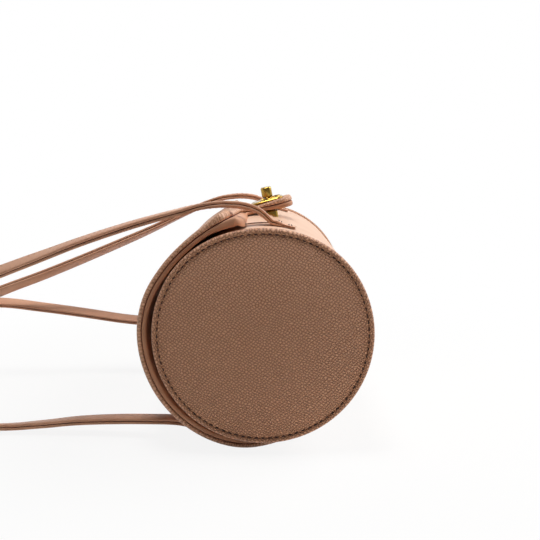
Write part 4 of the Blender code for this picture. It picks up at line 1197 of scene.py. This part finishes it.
# %% Back strap
back_radius = flap_outer_radius(BACK_SEWN_DEG, 0.0)
hinge = on_barrel(back_radius + STRAP_THICKNESS + 2 * GAP, BACK_SEWN_DEG, 0.0)
NEAR_SEWN_LOWER_DEG = 9
halves = []
for side, shares, offset, sewn_deg in (
    (-1, BACK_NEAR_SHARES, (-0.30, 0.40), BACK_SEWN_DEG + NEAR_SEWN_LOWER_DEG),
    (1, BACK_FAR_SHARES, (0.36, 0.36), BACK_SEWN_DEG),
):
    start = hinge + STRAP_THICKNESS * Vector((offset[0], 0.0, offset[1]))
    sewn = sewn_route(back_radius + GAP, sewn_deg, 1, BACK_SEWN_LENGTH, side * STRAP_HALF_SPAN)
    halves.append(sewn + run_route(shares, start, BACK_BIGHT, side, 0.12)[1:])
back_route = smooth_route(halves[0] + halves[1][-2::-1], SPANS)
strap(
    "back_strap", strap_frames(back_route, -1), slice(SEWN_STATIONS, -SEWN_STATIONS),
    ("back_handle_outer", "back_handle_near_sewn_end", "back_handle_far_sewn_end"), ("back_handle_inner",),
)
print("back strap, its sewn ends too, in mm:", in_mm([run_length(back_route)]))

# %% [markdown]
# Each end of the front strap is sewn down with a box of stitches. The needle holes are drawn dark and wide,
# as they show on the real patch, their dark being painted shade in the holes: two pairs of short dark stitches
# near the free edge and near the hinge.

# %% Box stitches on the sewn ends
PATCH_DEG = 10.9
for end, side in ENDS:
    frames = []
    for degrees in (74.6, 76.0, 80.2, 81.6):
        for across in (-2.5, -0.9, 0.9, 2.5):
            height = STRAP_THICKNESS * sewn_fullness((FRONT_SEWN_DEG - degrees) / PATCH_DEG)
            place = settled(on_barrel(front_floor + height, degrees, side * STRAP_HALF_SPAN + across * MM))
            frames.append(facing(place, Vector((0.0, 1.0, 0.0)), away_from_axis(place)))
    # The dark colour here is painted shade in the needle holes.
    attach(stitch_row(f"front_strap_{end}_box_seam", frames, 1.3 * MM, 0.75 * MM, DARK_THREAD_AND_HOLE_SHADE), "bag")
print("box stitches:", len(frames))

# %% [markdown]
# ## Pieces kept from the frame
#
# The lining, boards, facings, pocket and the lock's hidden plates already have their real shape, so they keep
# their CAD solids and only get their finish.

# %% Finishes for the kept pieces
KEPT = {
    "body_board": BOARD, "lining_wrap": LINING, "slip_pocket": LINING,
    "mouth_facing_front": BODY_LEATHER, "mouth_facing_back": BODY_LEATHER,
    "near_end_board": BOARD, "far_end_board": BOARD, "near_end_lining": LINING, "far_end_lining": LINING,
    "lock_back_plate": STEEL, "lock_rivet_near": STEEL, "lock_rivet_far": STEEL,
}
for name, finish in KEPT.items():
    mesh = nodes[name].data
    mesh.materials.clear()
    mesh.materials.append(finish)
print("kept pieces:", len(KEPT))

# %% [markdown]
# ## Studio
#
# The photograph is taken from the bag's near end, a little above it, with a normal lens, on pure white. The
# light comes from above and from the right, wide and soft, and little of it reaches the end that faces the
# camera.

# %% Camera
CAMERA_FROM_AXIS = Vector((0.8, -484.7, 92.9)) * MM
CAMERA_YAW_DEG, CAMERA_PITCH_DEG = 0.42, 8.27
camera_data = bpy.data.cameras.new("camera")
camera_data.lens = 50.0
camera_data.sensor_width = 36.0
camera = bpy.data.objects.new("camera", camera_data)
camera.location = Vector((AXIS_X, 0.0, AXIS_Z)) + CAMERA_FROM_AXIS
camera.rotation_euler = (math.radians(90 - CAMERA_PITCH_DEG), 0.0, math.radians(-CAMERA_YAW_DEG))
bpy.context.scene.collection.objects.link(camera)
bpy.context.scene.camera = camera
print("camera at, in mm:", in_mm(camera.location))

# %% [markdown]
# The floor is white paper. To the camera, and in reflections, most of it glows plain white, so that it has no
# horizon; the rest is matt paper, which takes the bag's soft shadow. The glow's share grows with the distance
# from the bag, so the shadow fades out.

# %% Floor
WHITE = (1.0, 1.0, 1.0, 1.0)


def seen_straight(tree):
    """The ray's facts, and 1 where the camera sees a place straight, mirrored or through glass."""
    ray = add_node(tree, "LightPath").outputs
    straight = ray["Is Camera Ray"]
    for other in ("Is Glossy Ray", "Is Transmission Ray"):
        straight = add_node(tree, "Math", {0: straight, 1: ray[other]}, operation="MAXIMUM").outputs[0]
    return ray, straight


paper = bpy.data.materials.new("white_paper_floor")
paper.use_nodes = True
tree = paper.node_tree
tree.nodes.clear()
matt = add_node(tree, "BsdfDiffuse", {"Color": colour("#F4F2EF")})
glow = add_node(tree, "Emission", {"Color": WHITE, "Strength": 1.0})
ray, straight = seen_straight(tree)
place = add_node(tree, "TexCoord").outputs["Object"]
distance = add_node(tree, "VectorMath", {0: place}, operation="LENGTH")
grown = add_node(
    tree, "MapRange",
    {"Value": distance.outputs["Value"], "From Min": 0.10, "From Max": 0.42, "To Min": 0.88, "To Max": 1.0},
    interpolation_type="SMOOTHSTEP",
)
share = add_node(tree, "Math", {0: straight, 1: grown.outputs["Result"]}, operation="MULTIPLY")
mixed = add_node(tree, "MixShader", {0: share.outputs[0], 1: matt.outputs[0], 2: glow.outputs[0]})
add_node(tree, "OutputMaterial", {"Surface": mixed.outputs[0]})

bm = bmesh.new()
bmesh.ops.create_grid(bm, x_segments=1, y_segments=1, size=3.0)
floor_mesh = bpy.data.meshes.new("floor")
bm.to_mesh(floor_mesh)
bm.free()
floor_mesh.materials.append(paper)
floor = bpy.data.objects.new("floor", floor_mesh)
bpy.context.scene.collection.objects.link(floor)
floor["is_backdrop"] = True
print("floor is", floor.dimensions.x, "m wide")

# %% [markdown]
# The world is white to the camera and gives only a little light. In reflections it is dimmer on the camera's
# side, like the room behind a real camera, which keeps the sheen of the end panels low.

# %% World
world = bpy.data.worlds.new("studio")
world.use_nodes = True
bpy.context.scene.world = world
tree = world.node_tree
tree.nodes.clear()
ray, straight = seen_straight(tree)
way = add_node(tree, "SeparateXYZ", {"Vector": add_node(tree, "TexCoord").outputs["Generated"]})
room = add_node(
    tree, "MapRange", {"Value": way.outputs["Y"], "From Min": -0.75, "From Max": 0.1, "To Min": 0.22},
    interpolation_type="SMOOTHSTEP",
)
bright = add_node(tree, "Math", {0: room.outputs["Result"], 1: ray["Is Camera Ray"]}, operation="MAXIMUM")
strength = add_node(tree, "MapRange", {"Value": straight, "To Min": 0.045, "To Max": bright.outputs[0]})
sky = add_node(tree, "Background", {"Color": WHITE, "Strength": strength.outputs["Result"]})
add_node(tree, "OutputWorld", {"Surface": sky.outputs[0]})
print("world nodes:", len(tree.nodes))

# %% [markdown]
# A small soft lamp high over the bag draws its shadow, a wide one from the right and behind brightens the
# body, and a very weak one fills from the camera's side.

# %% Lamps
LAMPS = (
    # name, place, the place it points at, width in metres and power in watts
    ("top_light", (-0.12, -0.12, 1.06), (0.0, -0.05, 0.06), 0.36, 5.6),
    ("side_light", (0.75, 0.20, 0.72), (0.0, 0.0, 0.06), 0.80, 8.5),
    ("front_fill", (0.25, -1.3, 0.75), (0.0, 0.0, 0.06), 0.8, 0.08),
)
for name, place, target, size, power in LAMPS:
    light = bpy.data.lights.new(name, "AREA")
    light.shape, light.size, light.energy = "DISK", size, power
    lamp = bpy.data.objects.new(name, light)
    lamp.location = place
    lamp.rotation_euler = (Vector(target) - Vector(place)).to_track_quat("-Z", "Y").to_euler()
    bpy.context.scene.collection.objects.link(lamp)
bpy.context.scene.view_settings.view_transform = "Standard"
print("lamps:", len(bpy.data.lights))

# %% The visual box
visual_box = [list(corner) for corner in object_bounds()]
print("visual box in mm:", *map(in_mm, visual_box))
